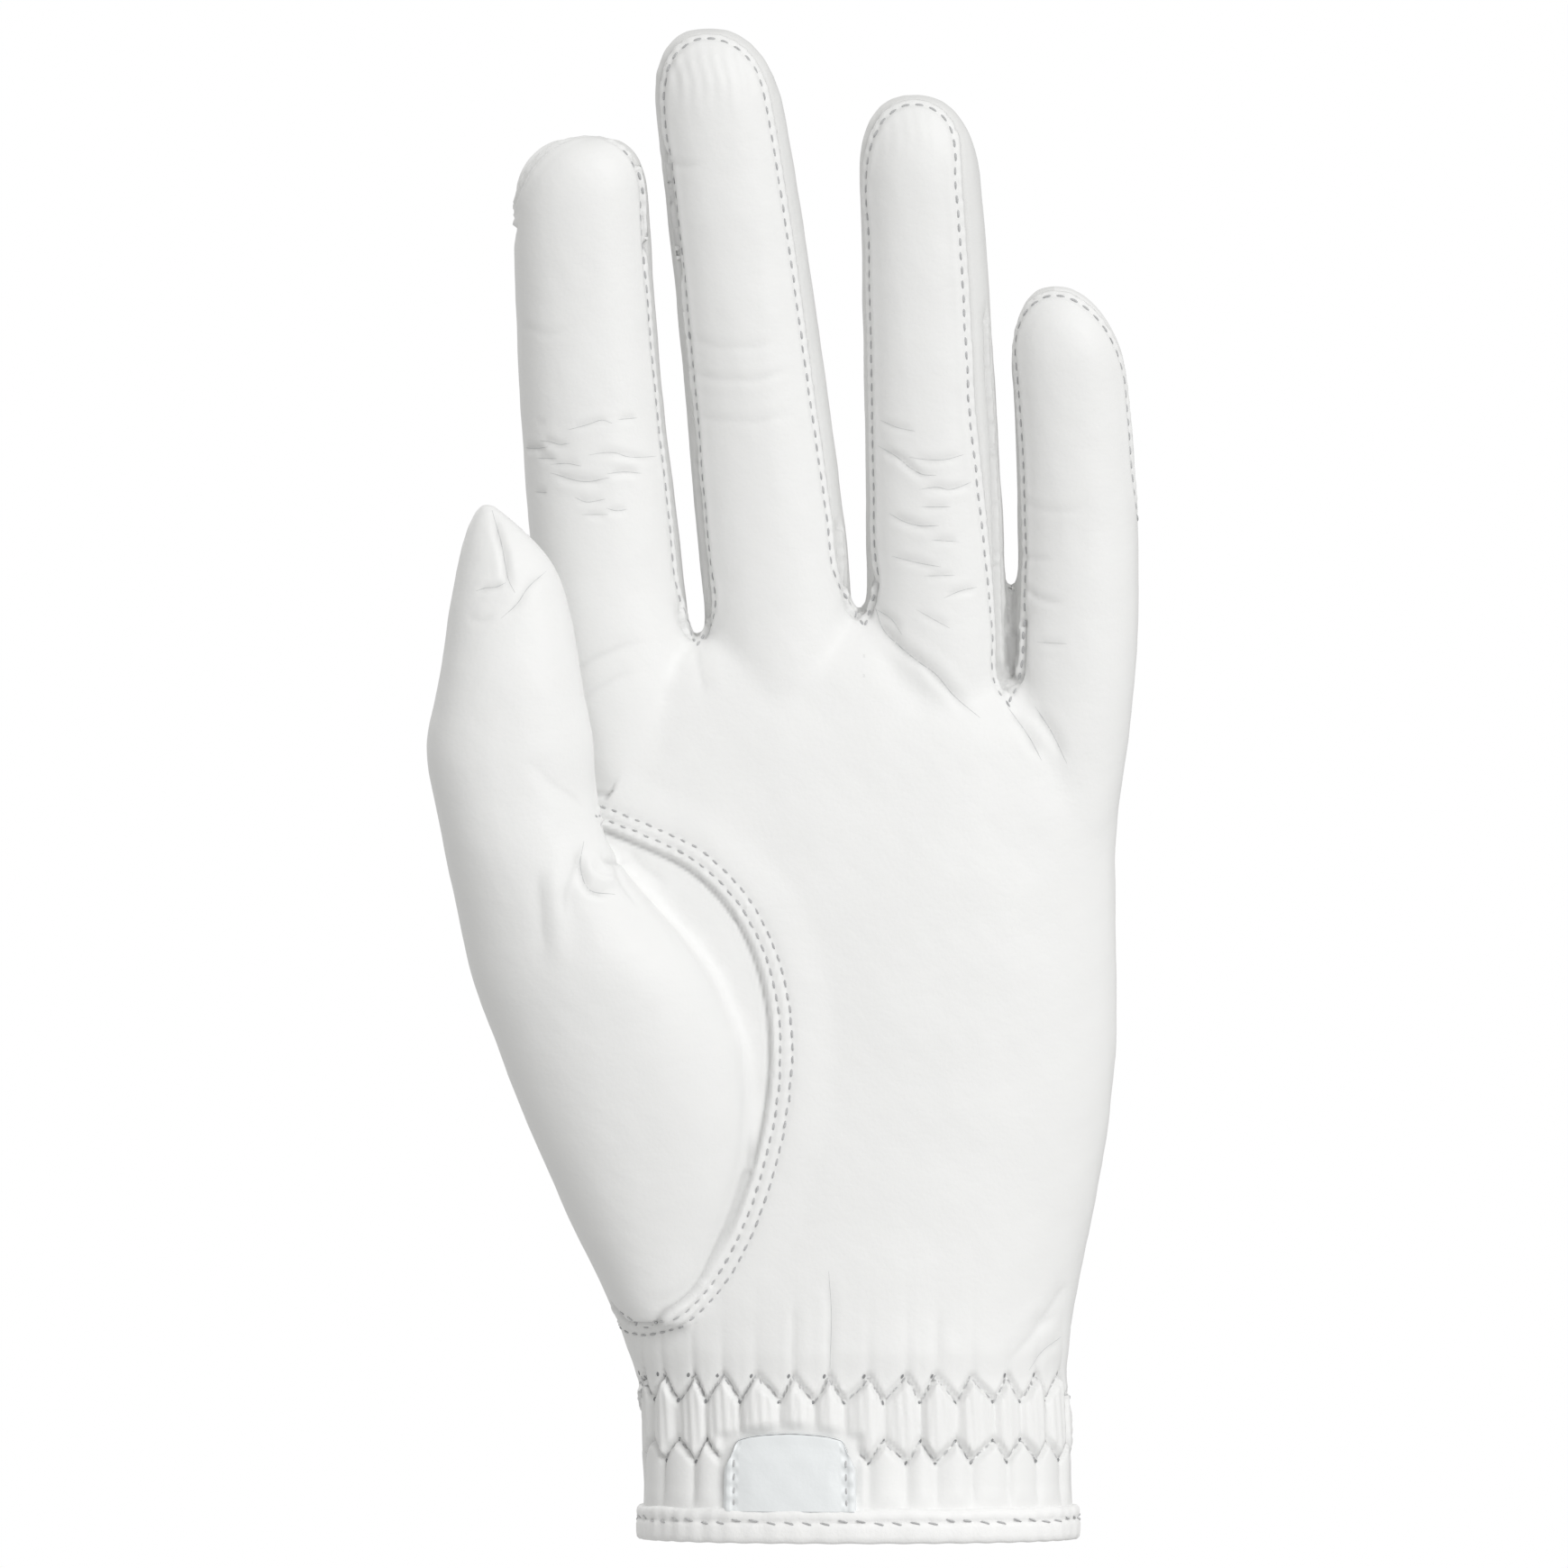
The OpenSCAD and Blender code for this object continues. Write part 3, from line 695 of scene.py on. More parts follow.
def gather_shape():
    """The puffs between the two zigzag rows, and the pleats above and below them."""
    z = form[:, 2]
    low = z < 48
    p = form[low]
    t, front = front_distance(p)
    u = gather_phase(p)
    height = p[:, 2]
    up, down = upper_row(u), lower_row(u)
    near_point = 2 * np.abs(u - np.round(u))          # 0 at the upper points, 1 between them
    size = 1 + 0.25 * np.sin(np.round(u) * 2.3) + 0.15 * np.sin(np.round(u) * 5.1)
    between = 1 - near_point
    middle_band = (smoothstep((height - down) / 1.2) * smoothstep((up - height) / 1.2))
    puff = 1.0 * size * (1 - near_point ** 2.2) * middle_band
    ripple = 0.12 * np.cos(2 * np.pi * t / 1.5 + height * 0.3) * middle_band
    lower_band = smoothstep((down - height) / 1.0) * smoothstep((height - 4) / 4)
    puff += 0.8 * (1 - between ** 2.2) * lower_band
    upper_band = smoothstep((height - up) / 1.2) * np.exp(-np.maximum(height - up, 0) / 5.5)
    puff += 0.75 * (1 - between ** 1.8) * upper_band
    slope = 0.6
    cut = -0.55 * bell((height - up) * slope, 0.4) - 0.5 * bell((height - down) * slope, 0.4)
    clear = 1 - smoothstep((1.12 - on_patch(p[:, 0], height)) / 0.1)
    clear = np.where(p[:, 1] < 0, clear, 1)
    base = -0.7 * smoothstep((30 - height) / 6) * smoothstep((height - 4) / 5)
    rise[low] += front * (base + clear * (puff + ripple + cut))
    # painted shade in the grooves along the zigzag rows
    dark = np.maximum(bell((height - up) * slope, 0.45), bell((height - down) * slope, 0.45))
    shade[low] = np.maximum(shade[low], front * clear * 0.12 * dark)


def crotch_shape():
    """The valleys between the fingers, below their gaps."""
    for path, depth in (([(23.7, 149), (23.7, 142), (23.6, 136), (23.5, 131)], 0.9),
                        ([(1.0, 145), (1.1, 142.3)], 0.3), ([(-25, 141), (-25, 139)], 0.3)):
        which, d, s, length = near(on_front(smooth_line(path, 0.8)), 3.5, deep=7)
        fade = smoothstep(s / 2 + 0.4) * smoothstep((length - s) / 3)
        rise[which] -= depth * fade * bell(d, 0.7)
        # painted shade in the valley
        shade[which] = np.maximum(shade[which], 0.25 * fade * bell(d, 0.6))


def fine_shape():
    """Slack in the leather, and small folds at two fingertips."""
    rise[:] += 0.07 * waves(form, 14, 3) + 0.02 * waves(form, 5, 5)
    x, y, z = form.T
    for name, below, size in (("middle", 12.5, 0.07), ("ring", 10, 0.03)):
        tube = FINGERS[name]
        here = (tube.reach(form) < 1.15) & (y < tube.cy(z))
        band = bell(z - (tube.high - below + 5), 4.5) * here
        rise[:] += size * band * np.sin(2 * np.pi * (x - tube.cx(z)) / 1.9 + 0.6 * np.sin(z * 0.8))


finger_seam_shape()
thumb_seam_shape()
crease_shape()
crotch_shape()
gather_shape()
fine_shape()
skin = form + normals * rise[:, None]
skin_normals = normals_of(skin, quads)
skin_tree = BVHTree.FromPolygons(skin.tolist(), quads.tolist())


# Which node each face belongs to ------------------------------------------------------------------

# Where the moving pieces start and where they have taken up the next body's motion
SPLITS = {"index": (149, 161, 166, 178), "middle": (148, 161, 171.5, 184.5),
          "ring": (148, 160, 166, 178), "little": (142.5, 154, 160, 172)}
THUMB_SPLITS = (110, 125, 127, 139)
SLIT_TOP, SLIT_X = 64.0, -0.4
BACK_SHARE = 0.62        # how far back the fourchettes reach, as a share of a finger's half depth


def slit_half(z):
    """Half the width of the slit in the back, which widens down to the cuff."""
    return 0.9 + 0.6 * np.clip((SLIT_TOP - z) / SLIT_TOP, 0, 1)


def on_skin(path):
    """Where points of the form have moved to on the skin."""
    out = []
    for p in path:
        at, normal, face, _ = form_tree.find_nearest(Vector(p))
        out.append(np.array(at) + np.array(normal) * rise[quads[face]].mean())
    return np.array(out)


def label_faces():
    """The node of each face, by its middle's place on the undisturbed form."""
    middle = form[quads].mean(1)
    x, y, z = middle.T
    names = np.where(y < 0.4, "palm_panel", "back_panel").astype(object)

    outlines = {}
    for name, line in finger_seams.items():
        left, right = line[0, 0], line[-1, 0]
        foot = [(right, 95), (left, 95)]
        if name == "index":
            foot = [(right, 95), (-70, 95), (-70, 205)]
        if name == "little":
            foot = [(60, 158), (60, 95), (left, 95)]
        outlines[name] = np.vstack([line, foot])
    places = middle[:, [0, 2]]

    parts = np.stack([np.abs(x - t.cx(z)) / t.w(np.minimum(z, t.high - 12))
                      for t in FINGERS.values()])
    parts += 100 * np.stack([z > t.high + 1 for t in FINGERS.values()])
    whose = parts.argmin(0)
    beside = {"index": ("", ""), "middle": ("_index_side", "_ring_side"),
              "ring": ("_middle_side", "_little_side"), "little": ("", "")}
    crotches = ("", "index_middle_crotch", "middle_ring_crotch", "ring_little_crotch", "")
    for k, (name, tube) in enumerate(FINGERS.items()):
        seam = FRONT_SEAMS[name]
        low = min(end[1] for end in (seam["foot"], seam["after"] or (0, 148)))
        if name == "index":
            low = CROTCHES["index"][1]
        mine = (whose == k) & (z > low - 3)
        cy, d = tube.cy(z), np.maximum(tube.d(z), 0.4)
        side_of = np.full(len(form), np.nan)
        side_of[list(seam_side[name])] = list(seam_side[name].values())
        from_seam = side_of[quads].mean(1)
        front = np.where(np.isnan(from_seam), inside(places, outlines[name]), from_seam > -LIP)
        front &= y < cy + 0.2 * d
        deep = (y - cy) / d
        left = x < tube.cx(z)
        outer = (name == "index") & left | (name == "little") & ~left
        back = deep > np.where(outer, 0.0, BACK_SHARE)
        side = ~front & ~back
        a, _, b, _ = SPLITS[name]
        stage = np.where(z > b, "upper", np.where(z > a, "lower", "hand"))
        for part in ("lower", "upper"):
            here = mine & (stage == part)
            names[here & front] = f"{name}_{part}_front"
            names[here & back & ~front] = f"{name}_{part}_back"
            for is_left, word in zip((True, False), beside[name]):
                strip = here & side & (left == is_left) & ~outer
                names[strip] = f"{name}_{part}_fourchette{word}"
            names[here & side & outer] = f"{name}_{part}_back"
        here = mine & (stage == "hand") & side & ~outer
        for is_left, word in zip((True, False), crotches[k:k + 2]):
            if word:
                names[here & (left == is_left)] = word

    u = (y - THUMB.cy(z)) / THUMB.d(z)
    thumb = (z > THUMB_SPLITS[0]) & (THUMB.reach(middle) < 1.2) & (y < -4.5)
    half = np.where(u < 0.05, "front", "back")
    root, bend = THUMB_SPLITS[0], THUMB_SPLITS[2]
    for part, low, high in (("lower", root, bend), ("upper", bend, 170)):
        for word in ("front", "back"):
            names[thumb & (z > low) & (z <= high) & (half == word)] = f"thumb_{part}_{word}"

    ball = np.vstack([offset_path(thumb_seam, THUMB_FOLD), [(-80, 34.5), (-80, 113)]])
    names[inside(places, ball) & (u < 0.12) & (z <= THUMB_SPLITS[0]) & (z > 33)] = "thumb_gusset"

    slit = (y > 0) & (np.abs(x - SLIT_X) < slit_half(z)) & (z < SLIT_TOP)
    names[slit] = ""
    return names


face_names = label_faces()


# Materials ------------------------------------------------------------------------------------

def material(name, colour, roughness, grain=(), shade_to=0.55, sheen=0.0, specular=0.3, tone=0.02):
    """A finish whose texture follows the rest position of its piece, in millimetres.

    grain is a list of (texture, scale, stretch, height in mm) laid over one another as relief."""
    mat = bpy.data.materials.new(name)
    mat.use_nodes = True
    nodes, links = mat.node_tree.nodes, mat.node_tree.links
    shader = nodes["Principled BSDF"]
    shader.inputs["Roughness"].default_value = roughness
    shader.inputs["Specular IOR Level"].default_value = specular
    shader.inputs["Sheen Weight"].default_value = sheen
    shader.inputs["Sheen Roughness"].default_value = 0.5
    place = nodes.new("ShaderNodeAttribute")
    place.attribute_name = "place"
    shade_in = nodes.new("ShaderNodeAttribute")
    shade_in.attribute_name = "shade"

    patches = nodes.new("ShaderNodeTexNoise")
    patches.inputs["Scale"].default_value = 0.09
    patches.inputs["Detail"].default_value = 3.0
    links.new(place.outputs["Vector"], patches.inputs["Vector"])
    tones = nodes.new("ShaderNodeMix")
    tones.data_type = "RGBA"
    tones.inputs[6].default_value = (*(c * (1 - tone) for c in colour), 1)
    tones.inputs[7].default_value = (*(min(c * (1 + tone), 1) for c in colour), 1)
    links.new(patches.outputs["Fac"], tones.inputs[0])
    # painted shade: the shade attribute darkens the colour towards shade_to in creases, seam folds, crotches and
    # gather grooves
    painted_shade = nodes.new("ShaderNodeMix")
    painted_shade.data_type = "RGBA"
    painted_shade.inputs[7].default_value = (*(c * shade_to for c in colour), 1)
    links.new(shade_in.outputs["Fac"], painted_shade.inputs[0])
    links.new(tones.outputs[2], painted_shade.inputs[6])
    links.new(painted_shade.outputs[2], shader.inputs["Base Color"])

    normal = None
    for kind, scale, stretch, height in grain:
        mapping = nodes.new("ShaderNodeMapping")
        mapping.inputs["Scale"].default_value = stretch
        links.new(place.outputs["Vector"], mapping.inputs["Vector"])
        texture = nodes.new(kind)
        texture.inputs["Scale"].default_value = scale
        links.new(mapping.outputs["Vector"], texture.inputs["Vector"])
        if kind == "ShaderNodeTexVoronoi":
            texture.feature = "SMOOTH_F1"
            out = texture.outputs["Distance"]
        elif kind == "ShaderNodeTexWave":
            texture.inputs["Distortion"].default_value = 0.6
            out = texture.outputs["Fac"]
        else:
            texture.inputs["Detail"].default_value = 4.0
            out = texture.outputs["Fac"]
        bump = nodes.new("ShaderNodeBump")
        bump.inputs["Strength"].default_value = 1.0
        bump.inputs["Distance"].default_value = height * MM
        links.new(out, bump.inputs["Height"])
        if normal:
            links.new(normal, bump.inputs["Normal"])
        normal = bump.outputs["Normal"]
    if normal:
        links.new(normal, shader.inputs["Normal"])
    mat.diffuse_color = (*colour, 1)
    return mat


NOISE, VORONOI, WAVE = "ShaderNodeTexNoise", "ShaderNodeTexVoronoi", "ShaderNodeTexWave"
EVEN = (1, 1, 1)
GRAIN = [(VORONOI, 1.5, EVEN, 0.02), (NOISE, 0.4, (1, 1, 1.5), 0.05), (NOISE, 3.5, EVEN, 0.012)]
WHITE = (0.872, 0.874, 0.868)
LEATHER_FINISH = material("white_leather", WHITE, 0.48, GRAIN, specular=0.35, tone=0.012)
BACK_FINISH = material("back_leather", WHITE, 0.5, GRAIN, specular=0.33, tone=0.015)
SIDE_FINISH = material("fourchette_leather", (0.79, 0.792, 0.785), 0.55, GRAIN)
PATCH_FINISH = material("patch_leather", (0.85, 0.875, 0.885), 0.38, [(NOISE, 1.1, EVEN, 0.05)],
                        specular=0.4)
TAB_FINISH = material("tab_leather", (0.865, 0.872, 0.872), 0.42, GRAIN, specular=0.4)
BINDING_FINISH = material("binding", (0.93, 0.93, 0.925), 0.55,
                          [(NOISE, 1.4, EVEN, 0.08), (NOISE, 5.0, EVEN, 0.02)])
# painted shade: white thread made grey, as if shaded in the dent it lies in
THREAD_SHADE_FINISH = material("thread", (0.74, 0.745, 0.75), 0.6, [(WAVE, 4.0, EVEN, 0.05)], sheen=0.2)
# painted shade: dark ovals for the shadow in the stitch dents and the knuckle holes
HOLE_SHADE_FINISH = material("needle_hole_shade", (0.50, 0.51, 0.52), 0.9, [], specular=0.0)
# painted shade: lighter ovals for the shadow in the dents of the gather and binding stitches
DENT_SHADE_FINISH = material("thread_dent_shade", (0.66, 0.665, 0.665), 0.9, [], specular=0.0)
# painted shade: dark needle dots at the zigzags' turns, and the gap at the patch's top
DOT_SHADE_FINISH = material("needle_dots", (0.28, 0.285, 0.29), 0.9, [], specular=0.0)
# painted shade: thin dark strips in the bottoms of the creases
CREASE_SHADE_FINISH = material("crease", (0.60, 0.61, 0.61), 0.8, [], specular=0.0)
ELASTIC_FINISH = material("elastic", (0.82, 0.82, 0.82), 0.7,
                          [(WAVE, 2.2, EVEN, 0.15), (NOISE, 4.0, EVEN, 0.05)], sheen=0.3)
PILE_FINISH = material("loop_pile", (0.83, 0.83, 0.83), 0.9,
                       [(VORONOI, 2.6, EVEN, 0.5), (NOISE, 6.0, EVEN, 0.2)], sheen=0.5)
HOOK_FINISH = material("hook_plastic", (0.82, 0.83, 0.83), 0.35, [(NOISE, 3.0, EVEN, 0.03)])


# Pieces ----------------------------------------------------------------------------------------

pieces = {}


def make(name, points, faces, finish, shade_values=None, loop_normals=None, slot=None, node=None):
    """A piece of the model from points in millimetres."""
    points = np.asarray(points, float)
    mesh = bpy.data.meshes.new(name)
    sizes = np.array([len(f) for f in faces], np.int32)
    mesh.vertices.add(len(points))
    mesh.vertices.foreach_set("co", (points * MM).ravel())
    mesh.loops.add(int(sizes.sum()))
    mesh.loops.foreach_set("vertex_index", np.concatenate(faces).astype(np.int32))
    mesh.polygons.add(len(sizes))
    mesh.polygons.foreach_set("loop_start", (np.cumsum(sizes) - sizes).astype(np.int32))
    mesh.polygons.foreach_set("use_smooth", np.ones(len(sizes), bool))
    mesh.update(calc_edges=True)
    mesh.validate()
    place = mesh.attributes.new("place", "FLOAT_VECTOR", "POINT")
    place.data.foreach_set("vector", points.ravel())
    # painted shade: how much each point's colour is darkened
    painted_shade = mesh.attributes.new("shade", "FLOAT", "POINT")
    painted_shade.data.foreach_set("value", np.zeros(len(points)) if shade_values is None else shade_values)
    if loop_normals is not None and len(loop_normals) == len(mesh.loops):
        mesh.normals_split_custom_set(loop_normals.tolist())
    mesh.materials.append(finish)
    obj = link(name, mesh)
    if slot:
        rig.slot(obj, slot)
    if node:
        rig.replaces(obj, node)
    pieces[name] = obj
    return obj


def rim_of(faces):
    """The edges of the faces that belong to one face only, in its direction."""
    a, b = faces.ravel(), np.roll(faces, -1, 1).ravel()
    size = faces.max() + 1
    return np.stack([a, b], 1)[~np.isin(a * size + b, b * size + a)]


def padded_sheet(top, bottom, faces):
    """A solid between two grids of points: its points and faces, its sides last."""
    count = len(top)
    rim = rim_of(faces)
    side = np.stack([rim[:, 1], rim[:, 0], rim[:, 0] + count, rim[:, 1] + count], 1)
    return np.vstack([top, bottom]), np.vstack([faces, faces[:, ::-1] + count, side])


def shell(outer, out, faces, thickness):
    """A sheet made solid: its points, faces and the normal at each face's corner."""
    points, solid = padded_sheet(outer, outer - out * thickness, faces)
    side = solid[2 * len(faces):]
    across = np.cross(points[side[:, 1]] - points[side[:, 0]], points[side[:, 3]] - points[side[:, 0]])
    across /= np.maximum(np.linalg.norm(across, axis=1, keepdims=True), 1e-12)
    corner = np.vstack([out[faces.ravel()], -out[faces[:, ::-1].ravel()], np.repeat(across, 4, 0)])
    return points, solid, corner


def finish_of(node):
    """The finish and the slot of a leather piece."""
    if "fourchette" in node or "crotch" in node:
        return SIDE_FINISH, "fourchette_leather"
    if node.endswith("back") or node == "back_panel":
        return BACK_FINISH, "back_leather"
    return LEATHER_FINISH, "palm_leather"


def leather_pieces():
    """Each node's part of the skin, as a sheet of leather."""
    for node in sorted(set(face_names) - {""}):
        used, local = np.unique(quads[face_names == node], return_inverse=True)
        local = local.reshape(-1, 4)
        points, faces, corner = shell(skin[used], skin_normals[used], local, LEATHER)
        finish, slot = finish_of(node)
        # painted shade on the outer face, none on the inner
        dark = np.concatenate([shade[used], np.zeros(len(used))])
        make(node, points, faces, finish, dark, corner, slot, node)


leather_pieces()


# The wrist: binding, patch, elastics, the slit's facing and the closure ---------------------------

def wrap(z, t, out):
    """Points round the wrist at heights z and angles t, out from the hand's form."""
    z, t, out = np.broadcast_arrays(np.asarray(z, float), np.asarray(t, float), np.asarray(out, float))
    p = HAND.point(z, t)
    along = HAND.point(z, t + 0.5) - HAND.point(z, t - 0.5)
    normal = np.stack([along[..., 1], -along[..., 0], 0 * z], -1)
    return p + normal / np.linalg.norm(normal, axis=-1, keepdims=True) * out[..., None]


def grid_faces(rows, columns, closed=False):
    """The faces of a grid of points, row after row."""
    i, j = np.meshgrid(np.arange(rows - 1), np.arange(columns if closed else columns - 1),
                       indexing="ij")
    i, j = i.ravel(), j.ravel()
    k = (j + 1) % columns
    return np.stack([i * columns + j, i * columns + k, (i + 1) * columns + k, (i + 1) * columns + j], 1)


def loft(loops):
    """A closed solid through rings of points: its points and faces."""
    rows, columns = loops.shape[:2]
    faces = grid_faces(rows, columns, True)
    caps = [list(range(columns))[::-1], list(range((rows - 1) * columns, rows * columns))]
    return loops.reshape(-1, 3), [list(f) for f in faces] + caps


SLIT_ANGLES = (92.2, 447.8)       # round the front, from one edge of the slit to the other


def make_binding():
    """The folded strip round the cuff's edge, its section a list of (out, height)."""
    profile = [(-0.9, 0.15), (-0.3, 0), (0.45, 0.08), (0.85, 0.45), (0.98, 1.2), (1.02, 2.4),
               (0.98, 3.0), (0.72, 3.35), (0.98, 3.7), (0.98, 4.4), (0.86, 4.9), (0.5, 5.25),
               (0.1, 5.35), (-0.9, 5.2), (-1.15, 4.6), (-1.2, 2.6), (-1.15, 0.6)]
    angles = np.linspace(*SLIT_ANGLES, 620)
    near_end = np.minimum(angles - angles[0], angles[-1] - angles)
    taper = np.sqrt(np.clip(near_end / 1.3, 0.05, 1))
    loops = []
    for t, share in zip(angles, taper):
        a = t / 360 * 165
        pull = 0.5 + 0.5 * math.cos(2 * math.pi * a / 2.8)
        ring = []
        for out, z in profile:
            swell = 0.07 * math.sin(a * 0.83) + 0.05 * math.sin(a * 2.1)
            out += swell * (out > 0) - (0.10 * pull if 2.9 < z < 3.8 and out > 0 else 0)
            z += 0.10 * math.sin(a * 0.55) * (z > 3) + 0.05 * math.sin(a * 1.7) * (z < 1)
            ring.append(wrap(z, t, out * share))
        loops.append(ring)
    make("cuff_binding", *loft(np.array(loops)[:, ::-1]), BINDING_FINISH, slot="binding",
         node="cuff_binding")


def front_skin(x, z):
    """How far forward the skin's form is."""
    return on_front(np.stack([np.ravel(x), np.ravel(z)], 1))[:, 1].reshape(np.shape(x))


def patch_point(u, v):
    """The patch's front face: u from -1 to 1 across it, v from 0 at the binding to 1 at its top."""
    half = PATCH_HALF * (1 - 0.02 * v)
    x = PATCH_MIDDLE + half * u * (1 - 0.10 * smoothstep((v - 0.75) / 0.25) * np.abs(u) ** 3)
    top = PATCH_TOP - 1.5 * np.abs(u) ** 2.2 - 2.2 * np.clip((np.abs(u) - 0.82) / 0.18, 0, 1) ** 2
    z = 4.9 + (top - 4.9) * v
    return x, z


def make_patch():
    """The small leather patch, padded, its sides stitched and its top tucked in."""
    u, v = np.meshgrid(np.linspace(-1, 1, 111), np.linspace(0, 1, 67))
    x, z = patch_point(u, v)
    y = front_skin(x, z)
    from_side = (1 - np.abs(u)) * PATCH_HALF
    edge = np.minimum(from_side, (1 - v) * 12.0)
    wave = np.where(from_side < 2.2, 0.16 * np.sin(2 * np.pi * z / 2.3), 0)
    sides = smoothstep((1.5 - from_side) / 0.6)
    rim = 0.24 * sides * smoothstep(edge / 0.5)
    seat = 0.15 + 0.55 * smoothstep(edge / 0.35)
    puff = 0.22 * smoothstep((edge - 1.6) / 3.0) + 0.05 * np.sin(x * 1.1 + 0.5) * np.sin(z * 0.9)
    lift = seat + rim + puff + wave * smoothstep(edge / 0.5) * (1 - smoothstep((edge - 1.8) / 0.5))
    lift = lift - 0.16 * sides * bell(edge - 1.6, 0.3)
    front = np.stack([x, y - lift, z], -1).reshape(-1, 3)
    back = np.stack([x, y + 0.5, z], -1).reshape(-1, 3)
    points, faces = padded_sheet(front, back, grid_faces(67, 111))
    make("wrist_patch", points, faces, PATCH_FINISH, slot="patch_leather", node="wrist_patch")


def joined(blocks):
    """Blocks of (points, faces) as one."""
    count = np.cumsum([0] + [len(p) for p, _ in blocks])
    return np.vstack([p for p, _ in blocks]), np.vstack([f + c for (_, f), c in zip(blocks, count)])


def wrapped_sheet(z, t, outer, inner, turned=False):
    """A solid sheet round the wrist over a grid of heights and angles."""
    faces = grid_faces(*z.shape)
    return padded_sheet(wrap(z, t, outer).reshape(-1, 3), wrap(z, t, inner).reshape(-1, 3),
                        faces[:, ::-1] if turned else faces)


def make_elastic(name, middle, half):
    """A gathered elastic band inside the leather, round the front of the wrist."""
    t, r = np.meshgrid(np.linspace(172, 368, 500), np.linspace(-half, half, 9))
    ripple = 0.12 * np.sin(np.radians(t) * 260) * np.cos(r / half * 1.2)
    z = middle + r + 0.2 * np.sin(np.radians(t) * 43)
    make(name, *wrapped_sheet(z, t, -2.05 + ripple, -2.6 + ripple), ELASTIC_FINISH, slot="elastic",
         node=name)


def make_facing():
    """The strip inside the slit's two edges, joined above it."""
    top = SLIT_TOP + 5
    strips = []
    for low, high in ((81, 88.6), (91.8, 99)):
        t, z = np.meshgrid(np.linspace(low, high, 9), np.linspace(5.6, top, 90))
        wave = 0.06 * np.sin(z * 1.3)
        strips.append(wrapped_sheet(z, t, -0.85 + wave, -1.35 + wave, True))
    t, z = np.meshgrid(np.linspace(88.3, 92.1, 5), np.linspace(SLIT_TOP - 2, top, 8))
    strips.append(wrapped_sheet(z, t, -0.95, -1.3, True))
    make("slit_facing", *joined(strips), SIDE_FINISH, slot="back_leather", node="slit_facing")


TAB_Z = (13.0, 37.0)
TAB_ROOT, TAB_END = 119.0, 50.0        # angles round the wrist
BACK_ARC = 0.47          # distance round the back for one degree


def tab_out(t):
    """How far out the tab's inner face lies: down on the back at its root, over the pads beyond."""
    return 0.75 + 1.75 * smoothstep((112 - t) / 9)


def tab_grid(low, high, root, end, rounding, rows=49, columns=121):
    """Heights and angles over a tab with a rounded free end."""
    v, u = np.meshgrid(np.linspace(-1, 1, rows), np.linspace(0, 1, columns), indexing="ij")
    middle, half = (low + high) / 2, (high - low) / 2
    tip = end + rounding * (1 - np.sqrt(np.maximum(0, 1 - np.abs(v) ** 2.6)))
    t = root + (tip - root) * u
    waist = 1 - 0.07 * np.sin(np.pi * np.clip((t - end) / (root - end), 0, 1)) ** 2
    z = middle + half * waist * v
    across = (1 - np.abs(v)) * half
    edge = np.minimum(across, BACK_ARC * np.minimum(t - tip, root - t))
    return z, t, edge


def make_layer(name, low, high, root, end, rounding, inner, outer, finish, slot, relief=None):
    """One layer of the closure, with rolled edges: inner and outer give its faces' distance out."""
    z, t, edge = tab_grid(low, high, root, end, rounding)
    roll = 1 - np.sqrt(np.clip(1 - (1 - np.clip(edge / 0.5, 0, 1)) ** 2, 0, 1))
    thick = outer(t) - inner(t)
    extra = relief(z, t, edge) if relief else 0
    block = wrapped_sheet(z, t, outer(t) - 0.45 * thick * roll + extra, inner(t) + 0.2 * thick * roll)
    make(name, *block, finish, slot=slot, node=name)


def tab_relief(z, t, edge):
    """The tab's stitched border and its padding."""
    border = -0.16 * bell(edge - 1.5, 0.35) * (0.75 + 0.25 * np.cos((z + t * BACK_ARC) * 2.8))
    return border + 0.12 * smoothstep((edge - 1.5) / 3) + 0.05 * np.sin(z * 0.5 + t * 0.11)


def make_hooks(count_z=17, count_t=22):
    """Small hooks on the inner face of the hook pad."""
    rings = [(1.78, 0.13), (1.5, 0.1), (1.42, 0.2), (1.33, 0.05)]
    blocks = []
    for i in range(count_z):
        for j in range(count_t):
            z = TAB_Z[0] + 4.2 + (TAB_Z[1] - TAB_Z[0] - 8.4) * i / (count_z - 1)
            t = 83 - 26 * (j + 0.5 * (i % 2)) / count_t
            block = [wrap(z + r * math.sin(a), t + r * 2.1 * math.cos(a), out)
                     for out, r in rings for a in np.arange(0, 2 * np.pi, np.pi / 3)]
            blocks.append((np.array(block), grid_faces(4, 6, True)))
    return joined(blocks)


def make_closure():
    """From the back panel outwards: the loop pad, the hook pad, the lining and the tab."""
    flat = lambda value: (lambda t: value + 0 * t)
    make_layer("loop_pad", TAB_Z[0] + 2, TAB_Z[1] - 2, 85, 53, 2, flat(0.1), flat(0.95), PILE_FINISH,
               "loop_pile", lambda z, t, e: 0.10 * np.sin(z * 4.1) * np.sin(t * 2.3))
    make_layer("hook_pad", TAB_Z[0] + 3, TAB_Z[1] - 3, 84, 56, 0.5, flat(1.72), flat(1.95),
               HOOK_FINISH, "hook_plastic")
    make("hooks", *make_hooks(), HOOK_FINISH, slot="hook_plastic")
    make_layer("tab_lining", TAB_Z[0] + 0.8, TAB_Z[1] - 0.8, 109, TAB_END + 1.5, 5.5,
               flat(1.98), flat(2.42), SIDE_FINISH, "tab_leather")
    make_layer("closure_tab", *TAB_Z, TAB_ROOT, TAB_END, 6, tab_out, lambda t: tab_out(t) + 0.7,
               TAB_FINISH, "tab_leather", tab_relief)


make_binding()
make_patch()
make_elastic("wrist_elastic_upper", 21.5, 3.2)
make_elastic("wrist_elastic_lower", 12.0, 3.2)
make_facing()
make_closure()


# Stitches ---------------------------------------------------------------------------------------

